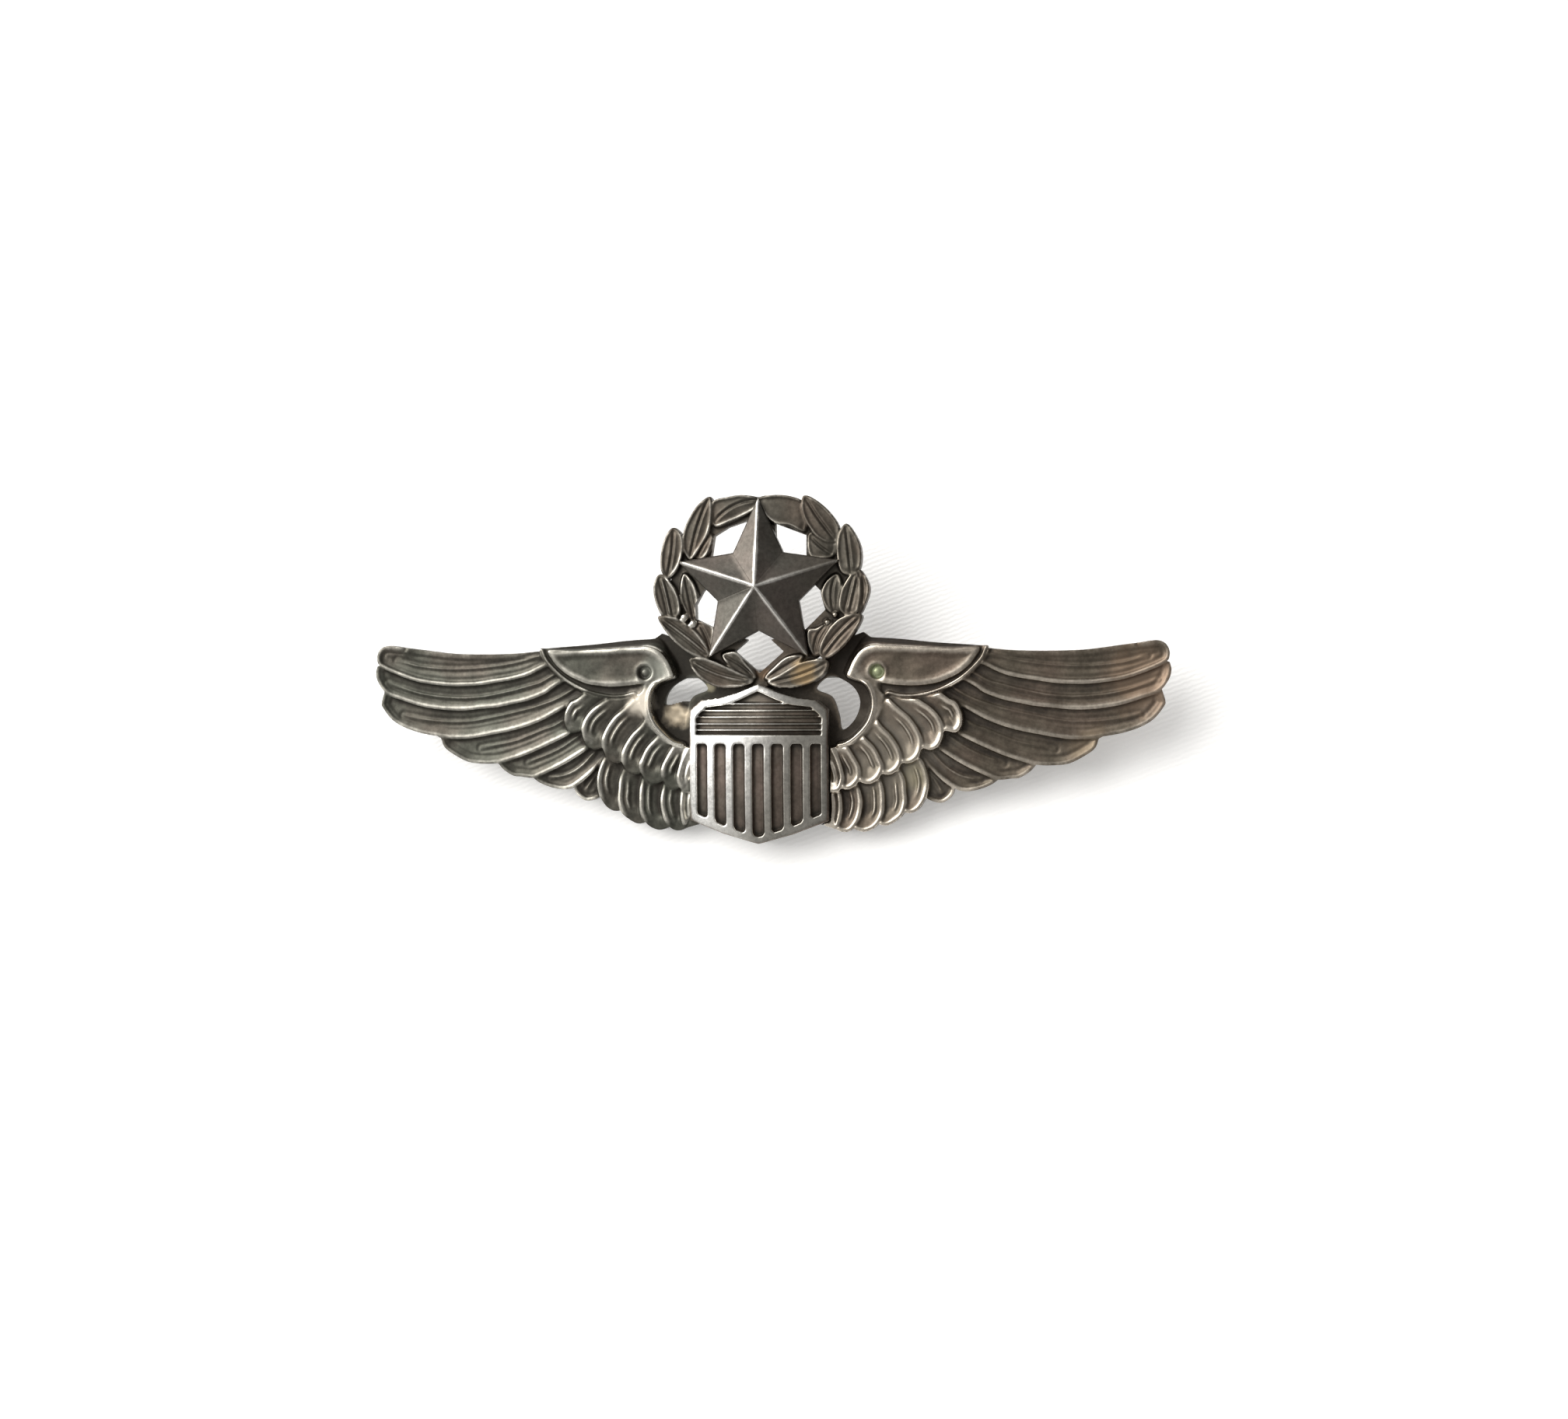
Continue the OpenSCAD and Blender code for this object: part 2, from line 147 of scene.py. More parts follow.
def struckPiece(name, low, high, cell, relief, back, edgeWear=0.05, broadShare=1.0):
    x, v = np.meshgrid(np.arange(low[0], high[0] + cell / 2, cell),
                       np.arange(low[1], high[1] + cell / 2, cell), indexing="ij")
    height, depth, wearAndPaintedLight = relief(x, v)
    inside = (depth > -0.5 * cell).astype(float)

    def mean(size):
        return soften(height * inside, size / cell) / np.maximum(soften(inside, size / cell), 0.02)

    height = np.where(inside > 0, mean(strike["smooth"] * cell), height)
    ridge, broad = height - mean(strike["ridgeReach"]), height - mean(strike["broadReach"])
    ridge = ridge + edgeWear * hump(depth, strike["edgeReach"])
    # wear on the raised parts, scaled by each piece's factor, which on the wing also holds painted shade and
    # painted highlight
    ridge = np.where(ridge > 0, ridge * wearAndPaintedLight, ridge)
    ridge = ridge - strike["webDark"] * ease((strike["webTop"] - height) / strike["webFade"])
    ridge = soften(ridge * inside, strike["wearSmooth"])
    ridge = ridge / np.maximum(soften(inside, strike["wearSmooth"]), 0.02)
    broad = broad * broadShare
    keep = depth > -0.5 * cell
    quad = keep[:-1, :-1] & keep[1:, :-1] & keep[1:, 1:] & keep[:-1, 1:]
    for _ in range(4):                     # no two cells may meet at a corner only
        a, b, c, d = quad[:-1, :-1], quad[1:, :-1], quad[:-1, 1:], quad[1:, 1:]
        a &= ~(a & d & ~b & ~c)
        b &= ~(b & c & ~a & ~d)
    count = np.zeros(x.shape, int)
    for i, j in ((0, 0), (1, 0), (0, 1), (1, 1)):
        count[i:i + quad.shape[0], j:j + quad.shape[1]] += quad
    used = count > 0
    border = used & (count < 4)
    gx, gv = np.gradient(depth, cell)
    size = np.sqrt(gx ** 2 + gv ** 2) + 1e-9
    gx, gv = gx / size, gv / size
    snap = border & (np.abs(depth) < cell)
    x, v = x - np.where(snap, depth * gx, 0), v - np.where(snap, depth * gv, 0)

    number = np.full(x.shape, -1)
    number[used] = np.arange(used.sum())
    points = [np.stack([x[used], height[used], v[used]], 1)]
    ridges, broads = [ridge[used]], [broad[used]]
    total = used.sum()
    rings = [number]
    floor = back(x, v)
    for share, swell in strike["sides"]:
        ring = np.full(x.shape, -1)
        ring[border] = total + np.arange(border.sum())
        total += border.sum()
        out = np.where(snap, swell, 0)
        y = height * (1 - share) + floor * share
        points.append(np.stack([(x - gx * out)[border], y[border], (v - gv * out)[border]], 1))
        ridges.append(np.full(border.sum(), 0.02 - 0.05 * share))
        broads.append(np.full(border.sum(), -0.1 * share))
        rings.append(ring)
    rear = np.full(x.shape, -1)
    rear[used] = total + np.arange(used.sum())
    points.append(np.stack([x[used], floor[used], v[used]], 1))
    ridges.append(np.where((border & snap)[used], strike["rearRim"], strike["rearRidge"]))
    broads.append(np.zeros(used.sum()))
    rings.append(rear)

    i, j = np.nonzero(quad)
    front = np.stack([number[i, j], number[i + 1, j], number[i + 1, j + 1], number[i, j + 1]], 1)
    # each face is split along the ridge that crosses it, not across it
    turn = np.abs(height[i, j] - height[i + 1, j + 1]) > np.abs(height[i + 1, j] - height[i, j + 1])
    faces = [np.where(turn[:, None], np.roll(front, 1, axis=1), front)]
    patches, left = [], quad.copy()
    block = strike["block"]
    walk = [(k, 0) for k in range(block)] + [(block, k) for k in range(block)]
    walk += [(block - k, block) for k in range(block)] + [(0, block - k) for k in range(block)]
    for i in range(0, quad.shape[0] - block, block):
        for j in range(0, quad.shape[1] - block, block):
            if quad[i:i + block, j:j + block].all():
                left[i:i + block, j:j + block] = False
                patches.append([rear[i + di, j + dj] for di, dj in walk[::-1]])
    i, j = np.nonzero(left)
    faces.append(np.stack([rear[i, j + 1], rear[i + 1, j + 1], rear[i + 1, j], rear[i, j]], 1))
    wide = np.pad(quad, 1)
    # the four sides of a cell: the way out, and its two corners
    for di, dj, a, b in ((0, -1, (0, 0), (1, 0)), (1, 0, (1, 0), (1, 1)),
                         (0, 1, (1, 1), (0, 1)), (-1, 0, (0, 1), (0, 0))):
        i, j = np.nonzero(quad & ~wide[1 + di:wide.shape[0] - 1 + di, 1 + dj:wide.shape[1] - 1 + dj])
        for upper, lower in zip(rings[:-1], rings[1:]):
            faces.append(np.stack([upper[i + b[0], j + b[1]], upper[i + a[0], j + a[1]],
                                   lower[i + a[0], j + a[1]], lower[i + b[0], j + b[1]]], 1))
    points = np.concatenate(points)
    faces = np.concatenate(faces).tolist() + patches
    return meshPiece(name, points, faces, np.concatenate(ridges), np.concatenate(broads), loose=True)


def meshPiece(name, points, faces, ridge, broad, sharp=58, loose=False):
    # points are across, height above the back, and up, in millimetres
    p = np.stack([points[:, 0] * mm, backY - points[:, 1] * mm, datumZ + points[:, 2] * mm], 1)
    mesh = bpy.data.meshes.new(name)
    mesh.from_pydata(p.tolist(), [], faces)
    for label, values in (("ridge", ridge), ("broad", broad)):
        layer = mesh.attributes.new(label, "FLOAT", "POINT")
        layer.data.foreach_set("value", values.astype(np.float32))
    mesh.validate()
    if loose:
        work = bmesh.new()
        work.from_mesh(mesh)
        bmesh.ops.delete(work, geom=[vert for vert in work.verts if not vert.link_faces], context="VERTS")
        work.to_mesh(mesh)
        work.free()
    mesh.shade_smooth()
    mesh.set_sharp_from_angle(angle=math.radians(sharp))
    piece = bpy.data.objects.new(name, mesh)
    bpy.context.scene.collection.objects.link(piece)
    return piece


def settle(piece, body, slotName, material, *nodes):
    piece.data.materials.append(material)
    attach(piece, body)
    if nodes:
        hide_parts(*nodes)
    print("made", piece.name, len(piece.data.polygons), "faces")


# ---- finishes ----

def put(tree, kind, inputs=None, **settings):
    node = tree.nodes.new("ShaderNode" + kind)
    for key, value in settings.items():
        setattr(node, key, value)
    for key, value in (inputs or {}).items():
        if isinstance(value, bpy.types.NodeSocket):
            tree.links.new(value, node.inputs[key])
        else:
            node.inputs[key].default_value = value
    return node


def span(tree, value, low, high, toLow=0.0, toHigh=1.0):
    return put(tree, "MapRange",
               {"Value": value, "From Min": low, "From Max": high, "To Min": toLow, "To Max": toHigh},
               interpolation_type="SMOOTHSTEP").outputs[0]


def math2(tree, operation, a, b=0.0):
    return put(tree, "Math", {0: a, 1: b}, operation=operation).outputs[0]


def plus(tree, a, b):
    return math2(tree, "ADD", a, b)


def times(tree, a, b):
    return math2(tree, "MULTIPLY", a, b)


def blend2(tree, factor, a, b, how="MIX"):
    return put(tree, "Mix", {0: factor, 6: a, 7: b}, data_type="RGBA", blend_type=how).outputs[2]


def newGroup(name, inputs, outputs):
    group = bpy.data.node_groups.new(name, "ShaderNodeTree")
    kinds = {"f": "NodeSocketFloat", "c": "NodeSocketColor", "v": "NodeSocketVector"}
    for label, kind in inputs:
        group.interface.new_socket(label, in_out="INPUT", socket_type=kinds[kind])
    for label, kind in outputs:
        group.interface.new_socket(label, in_out="OUTPUT", socket_type=kinds[kind])
    return group, group.nodes.new("NodeGroupInput").outputs, group.nodes.new("NodeGroupOutput").inputs


tarnishForm = {
    "fineScale": 2600.0, "toneScale": 160.0, "broadPart": 0.35, "blotch": 0.09, "speckle": 0.035,
    "fineShade": (0.35, 0.66), "coarseShade": (0.41, 0.60), "patinaRough": 0.42, "wornRough": 0.24,
    "grimeRough": 0.2, "roughSpread": 0.05, "grimeMetal": 0.55,
}


def makeTarnish():
    # old silver: dark in the hollows, grey-brown on the flats, polished by wear on whatever stands proud
    form = tarnishForm
    group, given, out = newGroup("tarnish", [
        ("Ridge", "f"), ("Broad", "f"), ("Wear From", "f"), ("Wear To", "f"), ("Grime From", "f"),
        ("Grime To", "f"), ("Blotch Size", "f"), ("Unevenness", "f"), ("Patina", "c"), ("Warm Patina", "c"),
        ("Worn", "c"), ("Grime", "c")],
        [("Color", "c"), ("Roughness", "f"), ("Metallic", "f"), ("Height", "f"), ("Wear", "f")])
    place = put(group, "TexCoord").outputs["Object"]
    coarse = put(group, "TexNoise", {"Vector": place, "Scale": given["Blotch Size"], "Detail": 4.0,
                                     "Roughness": 0.6}).outputs[0]
    fine = put(group, "TexNoise", {"Vector": place, "Scale": form["fineScale"], "Detail": 5.0,
                                   "Roughness": 0.65}).outputs[0]
    tone = put(group, "TexNoise", {"Vector": place, "Scale": form["toneScale"], "Detail": 3.0,
                                   "Roughness": 0.5}).outputs[0]
    mixed = plus(group, given["Ridge"], times(group, given["Broad"], form["broadPart"]))
    uneven = times(group, math2(group, "SUBTRACT", coarse, 0.5), form["blotch"])
    speckle = times(group, math2(group, "SUBTRACT", fine, 0.5), form["speckle"])
    uneven = times(group, plus(group, uneven, speckle), given["Unevenness"])
    level = plus(group, mixed, uneven)
    wear = span(group, level, given["Wear From"], given["Wear To"])
    grime = span(group, level, given["Grime From"], given["Grime To"], 1.0, 0.0)
    patina = blend2(group, span(group, tone, 0.38, 0.66), given["Patina"], given["Warm Patina"])
    shade = plus(group, span(group, fine, 0.32, 0.68, *form["fineShade"]),
                 span(group, coarse, 0.3, 0.7, *form["coarseShade"]))
    colour = blend2(group, wear, patina, given["Worn"])
    colour = blend2(group, grime, colour, given["Grime"])
    grey = put(group, "CombineColor", {0: shade, 1: shade, 2: shade}).outputs[0]
    colour = blend2(group, 1.0, colour, grey, "MULTIPLY")
    rough = plus(group, span(group, wear, 0.0, 1.0, form["patinaRough"], form["wornRough"]),
                 times(group, grime, form["grimeRough"]))
    spread = span(group, coarse, 0.3, 0.7, -form["roughSpread"], form["roughSpread"])
    rough = plus(group, rough, spread)
    group.links.new(colour, out["Color"])
    group.links.new(rough, out["Roughness"])
    group.links.new(span(group, grime, 0.0, 1.0, 1.0, form["grimeMetal"]), out["Metallic"])
    bumps = plus(group, times(group, fine, 0.4), times(group, coarse, 0.6))
    group.links.new(bumps, out["Height"])
    group.links.new(wear, out["Wear"])
    return group


stainForm = {
    "flatten": 0.3,                        # how much less the distance through the badge counts
    "noiseScale": 700.0, "solid": 0.35, "rearFrom": 0.0003, "rearTo": 0.0005,
}


def makeStain():
    # a patch of tint round a point, with a broken edge, on the face only
    group, given, out = newGroup("stain", [("Center", "v"), ("Radius", "f"), ("Breakup", "f")],
                                 [("Mask", "f")])
    place = put(group, "TexCoord").outputs["Object"]
    apart = put(group, "VectorMath", {0: place, 1: given["Center"]}, operation="SUBTRACT").outputs[0]
    apart = put(group, "VectorMath", {0: apart, 1: (1.0, stainForm["flatten"], 1.0)},
                operation="MULTIPLY").outputs[0]
    away = put(group, "VectorMath", {0: apart}, operation="LENGTH").outputs["Value"]
    noise = put(group, "TexNoise",
                {"Vector": place, "Scale": stainForm["noiseScale"], "Detail": 4.0}).outputs[0]
    share = math2(group, "DIVIDE", away, given["Radius"])
    ragged = times(group, math2(group, "SUBTRACT", noise, 0.5), given["Breakup"])
    inside = span(group, plus(group, share, ragged), stainForm["solid"], 1.0, 1.0, 0.0)
    depth = put(group, "SeparateXYZ", {0: apart}).outputs[1]
    onFace = span(group, depth, stainForm["rearFrom"], stainForm["rearTo"], 1.0, 0.0)
    group.links.new(times(group, inside, onFace), out["Mask"])
    return group


tarnishGroup, stainGroup = makeTarnish(), makeStain()
stainHeight, stainBreakup = 2.0, 0.9       # mm above the back, and how ragged the edge is


def agedSilver(name, look):
    material = bpy.data.materials.new(name)
    material.use_nodes = True
    tree = material.node_tree
    shader = tree.nodes["Principled BSDF"]
    place = put(tree, "SeparateXYZ", {0: put(tree, "TexCoord").outputs["Object"]}).outputs
    aged = put(tree, "Group", node_tree=tarnishGroup)
    for label in ("Ridge", "Broad"):
        stored = put(tree, "Attribute", attribute_name=label.lower()).outputs["Fac"]
        tree.links.new(stored, aged.inputs[label])
    for label, value in look["tarnish"].items():
        aged.inputs[label].default_value = value if not isinstance(value, tuple) else (*value, 1.0)
    if "right" in look:                    # the colours change slowly across the piece: a browner tint on the wing, and painted shade towards the right on the shield, wreath and star
        across, up, begin, end = look["tintAndShadeSlant"]
        slant = plus(tree, times(tree, place[0], across), times(tree, place[2], up))
        side = span(tree, slant, begin * mm, end * mm)
        for label, value in look["right"].items():
            here = look["tarnish"][label]
            tree.links.new(blend2(tree, side, (*here, 1.0), (*value, 1.0)), aged.inputs[label])
    colour, rough, metal = (aged.outputs[k] for k in ("Color", "Roughness", "Metallic"))
    for x, v, radius, tint, strength, dull in look.get("stains", []):
        patch = put(tree, "Group", {}, node_tree=stainGroup)
        patch.inputs["Center"].default_value = (x * mm, backY - stainHeight * mm, datumZ + v * mm)
        patch.inputs["Radius"].default_value = radius * mm
        patch.inputs["Breakup"].default_value = stainBreakup
        mask = times(tree, patch.outputs[0], strength)
        colour = blend2(tree, mask, colour, (*tint, 1.0))
        metal = math2(tree, "SUBTRACT", metal, times(tree, mask, dull))
    bump = put(tree, "Bump", {"Strength": 0.35, "Distance": 0.00003, "Height": aged.outputs["Height"]})
    tree.links.new(colour, shader.inputs["Base Color"])
    tree.links.new(rough, shader.inputs["Roughness"])
    tree.links.new(metal, shader.inputs["Metallic"])
    tree.links.new(bump.outputs[0], shader.inputs["Normal"])
    return material


print("finishes ready")


# ---- wings ----

wings = {
    "cell": 0.08,
    # long feathers from the topmost one down: the edge runs from the tip to the root, the rib the other way
    "long": [
        {"top": 1.72, "rim": 0.34,
         "edge": [(35.6, 5.18), (36.7, 5.3), (37.4, 5.1), (37.8, 4.6), (37.9, 4.0), (37.7, 3.45),
            (36.9, 2.95), (35.3, 2.3), (33.7, 1.8), (32.1, 1.55), (30.5, 1.4), (28.9, 1.4), (27.4, 1.5),
            (25.8, 1.75), (24.2, 2.0), (22.7, 2.4), (21.1, 3.15), (19.8, 3.7)],
         "rib": [(20.6, 4.5), (21.9, 4.1), (24.3, 3.5), (27.4, 3.1), (30.6, 3.0), (33.7, 3.3), (35.9, 3.9)]},
        {"top": 1.64, "rim": 0.55,
         "edge": [(37.9, 3.3), (38.05, 2.6), (37.8, 1.7), (36.9, 0.6), (35.3, 0.0), (33.7, -0.5),
            (32.1, -0.8), (30.5, -0.95), (28.9, -0.95), (27.4, -0.8), (25.8, -0.65), (24.3, -0.35),
            (22.7, 0.0), (21.1, 0.6), (20.2, 1.2), (18.8, 2.0)],
         "rib": [(19.6, 2.7), (21.4, 1.7), (22.8, 1.3), (24.3, 0.9), (27.4, 0.3), (30.6, 0.25), (33.8, 0.7),
            (36.9, 1.7)]},
        {"top": 1.56, "rim": 0.6,
         "edge": [(37.2, 0.8), (37.5, -0.2), (37.4, -0.7), (36.5, -1.85), (35.3, -2.6), (33.7, -3.15),
            (32.1, -3.45), (30.5, -3.7), (28.9, -3.7), (27.4, -3.5), (25.8, -3.2), (24.3, -2.9),
            (22.7, -2.45), (21.2, -1.85), (19.6, -1.0), (18.4, -0.4), (16.6, 0.7)],
         "rib": [(17.6, 1.4), (19.7, 0.15), (21.2, -0.4), (22.8, -0.9), (25.9, -1.6), (29.0, -2.1),
            (32.2, -2.0), (35.3, -1.5)]},
        {"top": 1.47, "rim": 0.5,
         "edge": [(31.5, -3.7), (31.2, -4.5), (30.5, -5.1), (28.9, -5.95), (27.4, -6.15), (25.8, -6.1),
            (24.3, -5.7), (22.7, -5.15), (21.2, -4.5), (19.6, -3.75), (18.4, -3.1), (16.8, -2.0)],
         "rib": [(18.2, -1.2), (20.0, -2.4), (21.2, -2.85), (22.8, -3.5), (24.4, -4.05), (27.5, -4.65)]},
        {"top": 1.4, "rim": 0.45,
         "edge": [(25.8, -6.1), (25.2, -6.75), (24.3, -7.3), (23.5, -7.4), (22.3, -7.5), (21.2, -7.1),
            (19.5, -6.3), (18.1, -5.5), (17.1, -4.85), (15.6, -3.8)],
         "rib": [(17.4, -3.2), (19.3, -4.5), (20.8, -5.25), (22.8, -6.0)]},
        {"top": 1.33, "rim": 0.4,
         "edge": [(22.3, -7.5), (21.6, -8.0), (20.4, -8.45), (19.2, -8.6), (18.2, -8.3), (16.7, -7.2),
            (15.3, -5.7), (14.2, -4.6)],
         "rib": [(16.2, -5.0), (17.6, -6.4), (19.0, -7.2), (20.6, -7.5)]},
        {"top": 1.26, "rim": 0.3,
         "edge": [(18.3, -8.3), (18.0, -9.05), (17.2, -9.65), (16.4, -9.6), (15.6, -9.2), (15.0, -8.4),
            (14.4, -6.4)],
         "rib": [(16.0, -7.0), (16.7, -8.0), (17.1, -8.7)]}],
    "topLine": [(19.8, 4.95), (21.8, 4.65), (24.2, 4.45), (27.3, 4.4), (30.4, 4.5), (33.6, 4.9), (35.2, 5.1),
            (36.6, 5.3)],
    # outer edges of the short feathers, from the outermost one inwards, each from its root round its tip
    "upper": [
        [(16.6, 0.9), (17.8, 0.0), (18.4, -0.3), (18.9, -1.1), (19.05, -1.9), (18.9, -2.6), (18.4, -3.1),
         (17.6, -3.0)],
        [(14.0, 0.5), (15.2, -0.2), (16.3, -1.0), (17.0, -1.9), (17.3, -3.0), (17.1, -3.9), (16.7, -4.5),
         (16.1, -4.75), (15.4, -4.6)],
        [(12.2, 0.0), (13.3, -1.0), (14.2, -1.8), (15.0, -3.0), (15.3, -4.1), (15.1, -5.1), (14.5, -5.8),
         (13.8, -6.0), (13.0, -5.8)],
        [(10.8, -1.6), (11.6, -2.6), (12.4, -3.4), (13.1, -4.5), (13.4, -5.6), (13.15, -6.4), (12.5, -6.95),
         (11.9, -7.05), (11.2, -6.8)],
        [(9.6, -3.3), (10.1, -3.75), (10.9, -4.6), (11.4, -5.6), (11.65, -6.4), (11.3, -7.3), (10.6, -7.85),
         (9.9, -7.9), (9.3, -7.6)],
        [(8.1, -4.3), (8.5, -4.7), (9.05, -5.6), (9.4, -6.3), (9.5, -7.1), (9.3, -7.7), (8.7, -8.3),
         (8.1, -8.45), (7.6, -8.2)],
        [(7.0, -4.6), (7.5, -5.6), (7.85, -6.7), (7.95, -7.5), (7.7, -8.3), (7.3, -8.65), (6.6, -8.7),
         (5.6, -8.5)]],
    "lower": [
        [(14.4, -4.4), (15.3, -5.8), (15.7, -6.7), (15.9, -7.8), (15.7, -9.0), (15.1, -10.1), (14.4, -10.6),
         (13.7, -10.6), (12.9, -10.3)],
        [(12.8, -5.8), (13.6, -7.4), (13.75, -8.6), (13.8, -9.7), (13.45, -10.8), (12.8, -11.4),
         (12.1, -11.8), (11.5, -11.8), (10.9, -11.5)],
        [(11.0, -6.2), (11.5, -7.8), (11.7, -8.9), (11.7, -10.4), (11.4, -11.3), (10.8, -12.05),
         (10.0, -12.4), (9.4, -12.35), (8.8, -12.1)],
        [(9.0, -7.0), (9.4, -8.3), (9.65, -9.7), (9.4, -11.1), (8.9, -12.0), (8.4, -12.4), (7.8, -12.45),
         (7.2, -12.2)],
        [(7.4, -7.2), (7.65, -8.8), (7.75, -10.4), (7.5, -11.7), (7.2, -12.1), (6.8, -12.0), (5.6, -11.6)]],
    "shoulderBack": [(21.4, 4.75), (20.6, 4.95), (16.3, 5.28), (13.3, 5.6), (11.0, 5.75), (9.9, 5.7),
            (9.0, 4.4), (8.2, 2.3), (11.0, 1.2), (14.8, 0.2), (18.3, 1.4), (20.4, 3.0)],
    "shoulder": [(21.45, 4.7), (21.0, 3.7), (20.35, 3.0), (19.4, 2.1), (18.3, 1.35), (16.7, 0.6),
            (14.8, 0.15), (13.3, 0.15), (12.0, 0.5), (10.8, 1.4), (8.9, 2.0), (8.35, 2.2), (8.55, 2.85),
            (8.95, 3.7), (9.6, 4.5), (10.5, 4.98), (11.7, 5.05), (14.6, 4.9), (18.0, 4.75), (20.6, 4.84)],
    "outerRidge": [(21.4, 4.65), (21.0, 3.75), (20.35, 3.0), (19.4, 2.1), (18.3, 1.35), (16.7, 0.6),
            (14.8, 0.15), (13.3, 0.15), (12.2, 0.4)],
    "panel": [(20.5, 4.75), (20.2, 3.85), (19.6, 3.1), (18.7, 2.4), (17.8, 1.95), (16.6, 1.5), (14.7, 1.25),
            (13.2, 1.3), (12.0, 1.45), (10.6, 1.7), (8.9, 2.0), (8.35, 2.2), (8.55, 2.85), (8.95, 3.7),
            (9.6, 4.5), (10.5, 4.96), (11.7, 5.03), (14.6, 4.88), (18.0, 4.72)],
    "panelRim": [(12.0, 1.45), (13.2, 1.3), (14.7, 1.25), (16.6, 1.5), (17.8, 1.95), (18.7, 2.4),
            (19.6, 3.1), (20.2, 3.85), (20.5, 4.65), (19.6, 4.65), (18.0, 4.72), (14.6, 4.88), (11.7, 5.03),
            (10.5, 4.96), (9.6, 4.5), (8.95, 3.7), (8.55, 2.85), (8.35, 2.2)],
    "eye": (11.12, 2.57), "eyeRadius": 0.68,
    "neckOuter": [(8.35, 2.2), (9.4, 2.7), (11.6, 2.0), (12.6, 1.1), (12.5, -0.3), (11.7, -1.7),
           (10.8, -2.9), (9.6, -3.9), (8.2, -4.5), (7.3, -4.5)],
    "hook": [(8.35, 2.2), (8.8, 2.05), (9.55, 1.75), (10.25, 1.0), (10.55, 0.1), (10.55, -0.9),
           (10.2, -1.95), (9.6, -2.8), (8.8, -3.55), (8.1, -4.0), (7.5, -4.15)],
    "hole": [(6.6, 2.2), (8.6, 1.3), (9.4, -0.2), (8.9, -1.9), (7.7, -2.9), (7.35, -1.4), (6.7, 0.2),
            (5.2, 1.0)],
    "web": [(9.7, 6.3), (8.3, 5.8), (6.4, 4.2), (3, 2.2), (-3, 2.2), (-3, -11), (7, -11), (13.6, -9.8),
            (16, -7.4), (24, -4.2), (24, 3.6), (12, 4.6)],
    "wreathSeat": 8.6, "wreathCentre": 10.5,
    "rimHeight": 0.1, "rimWidth": 0.42, "rimFade": 0.17, "firstRim": 0.62, "ribHeight": 0.11,
    "ribWidth": 0.11,
    "lowerTop": 1.72, "upperTop": 2.0, "shortRim": 0.12, "innerRib": 0.12, "innerAt": 0.92,
    "neckTop": 1.98, "hookRim": 0.24, "headTop": 2.02, "panelTop": 2.06, "panelRimHeight": 0.07,
    "eyeDepth": 0.32, "pupilRadius": 0.42, "residueTop": 0.7,
    "longWear": 0.42, "shortWear": 0.88,   # the second is added towards the middle, on the short feathers
}


def longTop(u, v, feather, first):
    d, _ = nearLine(u, v, spline(feather["edge"]))
    r, toTip = nearLine(u, v, spline(feather["rib"]))
    rim = feather["rim"]
    band = ease((wings["rimWidth"] - d) / wings["rimFade"])
    if first:                              # the uppermost feather has a rim along its upper edge too
        t, _ = nearLine(u, v, spline(wings["topLine"]))
        band = np.maximum(band, ease((wings["firstRim"] - t) / wings["rimFade"]) * ease((u - 20.8) / 2))
    top = feather["top"] + wings["rimHeight"] * band - 0.19 * ease((d - rim * 0.5) / 1.5)
    top = top + wings["ribHeight"] * hump(r, wings["ribWidth"]) * ease((1 - toTip) / 0.16)
    return top - 0.05 * hump(r - 0.34, 0.16) - 0.08 * hump(d - rim - 0.25, 0.2)


def shortTop(x, v, edge, top):
    d, along = nearLine(np.abs(x), v, edge)
    tip = np.maximum(ease((along - 0.42) / 0.3), 0.6 - 0.6 * ease(along / 0.3)) * (x < 0)
    inner = ease((0.62 - along) / 0.24) * ease((along - 0.08) / 0.15)
    fine = wings["shortRim"] * (1 - 0.9 * tip) * hump(d - 0.2, 0.18) - 0.30 * ease((d - 0.25) / 1.6)
    fine = fine - 0.2 * tip * ease(1.2 - d)
    inside = wings["innerRib"] * hump(d - wings["innerAt"], 0.11)
    inside = inside - 0.06 * hump(d - 0.62, 0.15) - 0.06 * hump(d - 1.2, 0.17)
    return top + fine + inner * inside, tip


def shortRow(x, v, height, tips, edges, top):
    lines, u, solid = [spline(e) for e in edges], np.abs(x), np.full(x.shape, -1.0)
    for k, line in enumerate(lines):
        if k + 1 < len(lines):
            under = lines[k + 1]
            closing = (under[under[:, 1] > line[-1][1] + 0.3] - (0.5, 0))[::-1]
        else:
            closing = np.array([(5.0, line[-1][1]), (5.0, line[0][1])])
        depth = within(u, v, np.concatenate([line, closing]))
        near = depth > -0.3
        profile, tip = shortTop(x[near], v[near], line, top + 0.015 * k)
        height[near] = lay(height[near], depth[near], profile)
        tips[near] = lay(tips[near], depth[near], tip)
        solid = np.maximum(solid, depth)
    return height, solid, tips


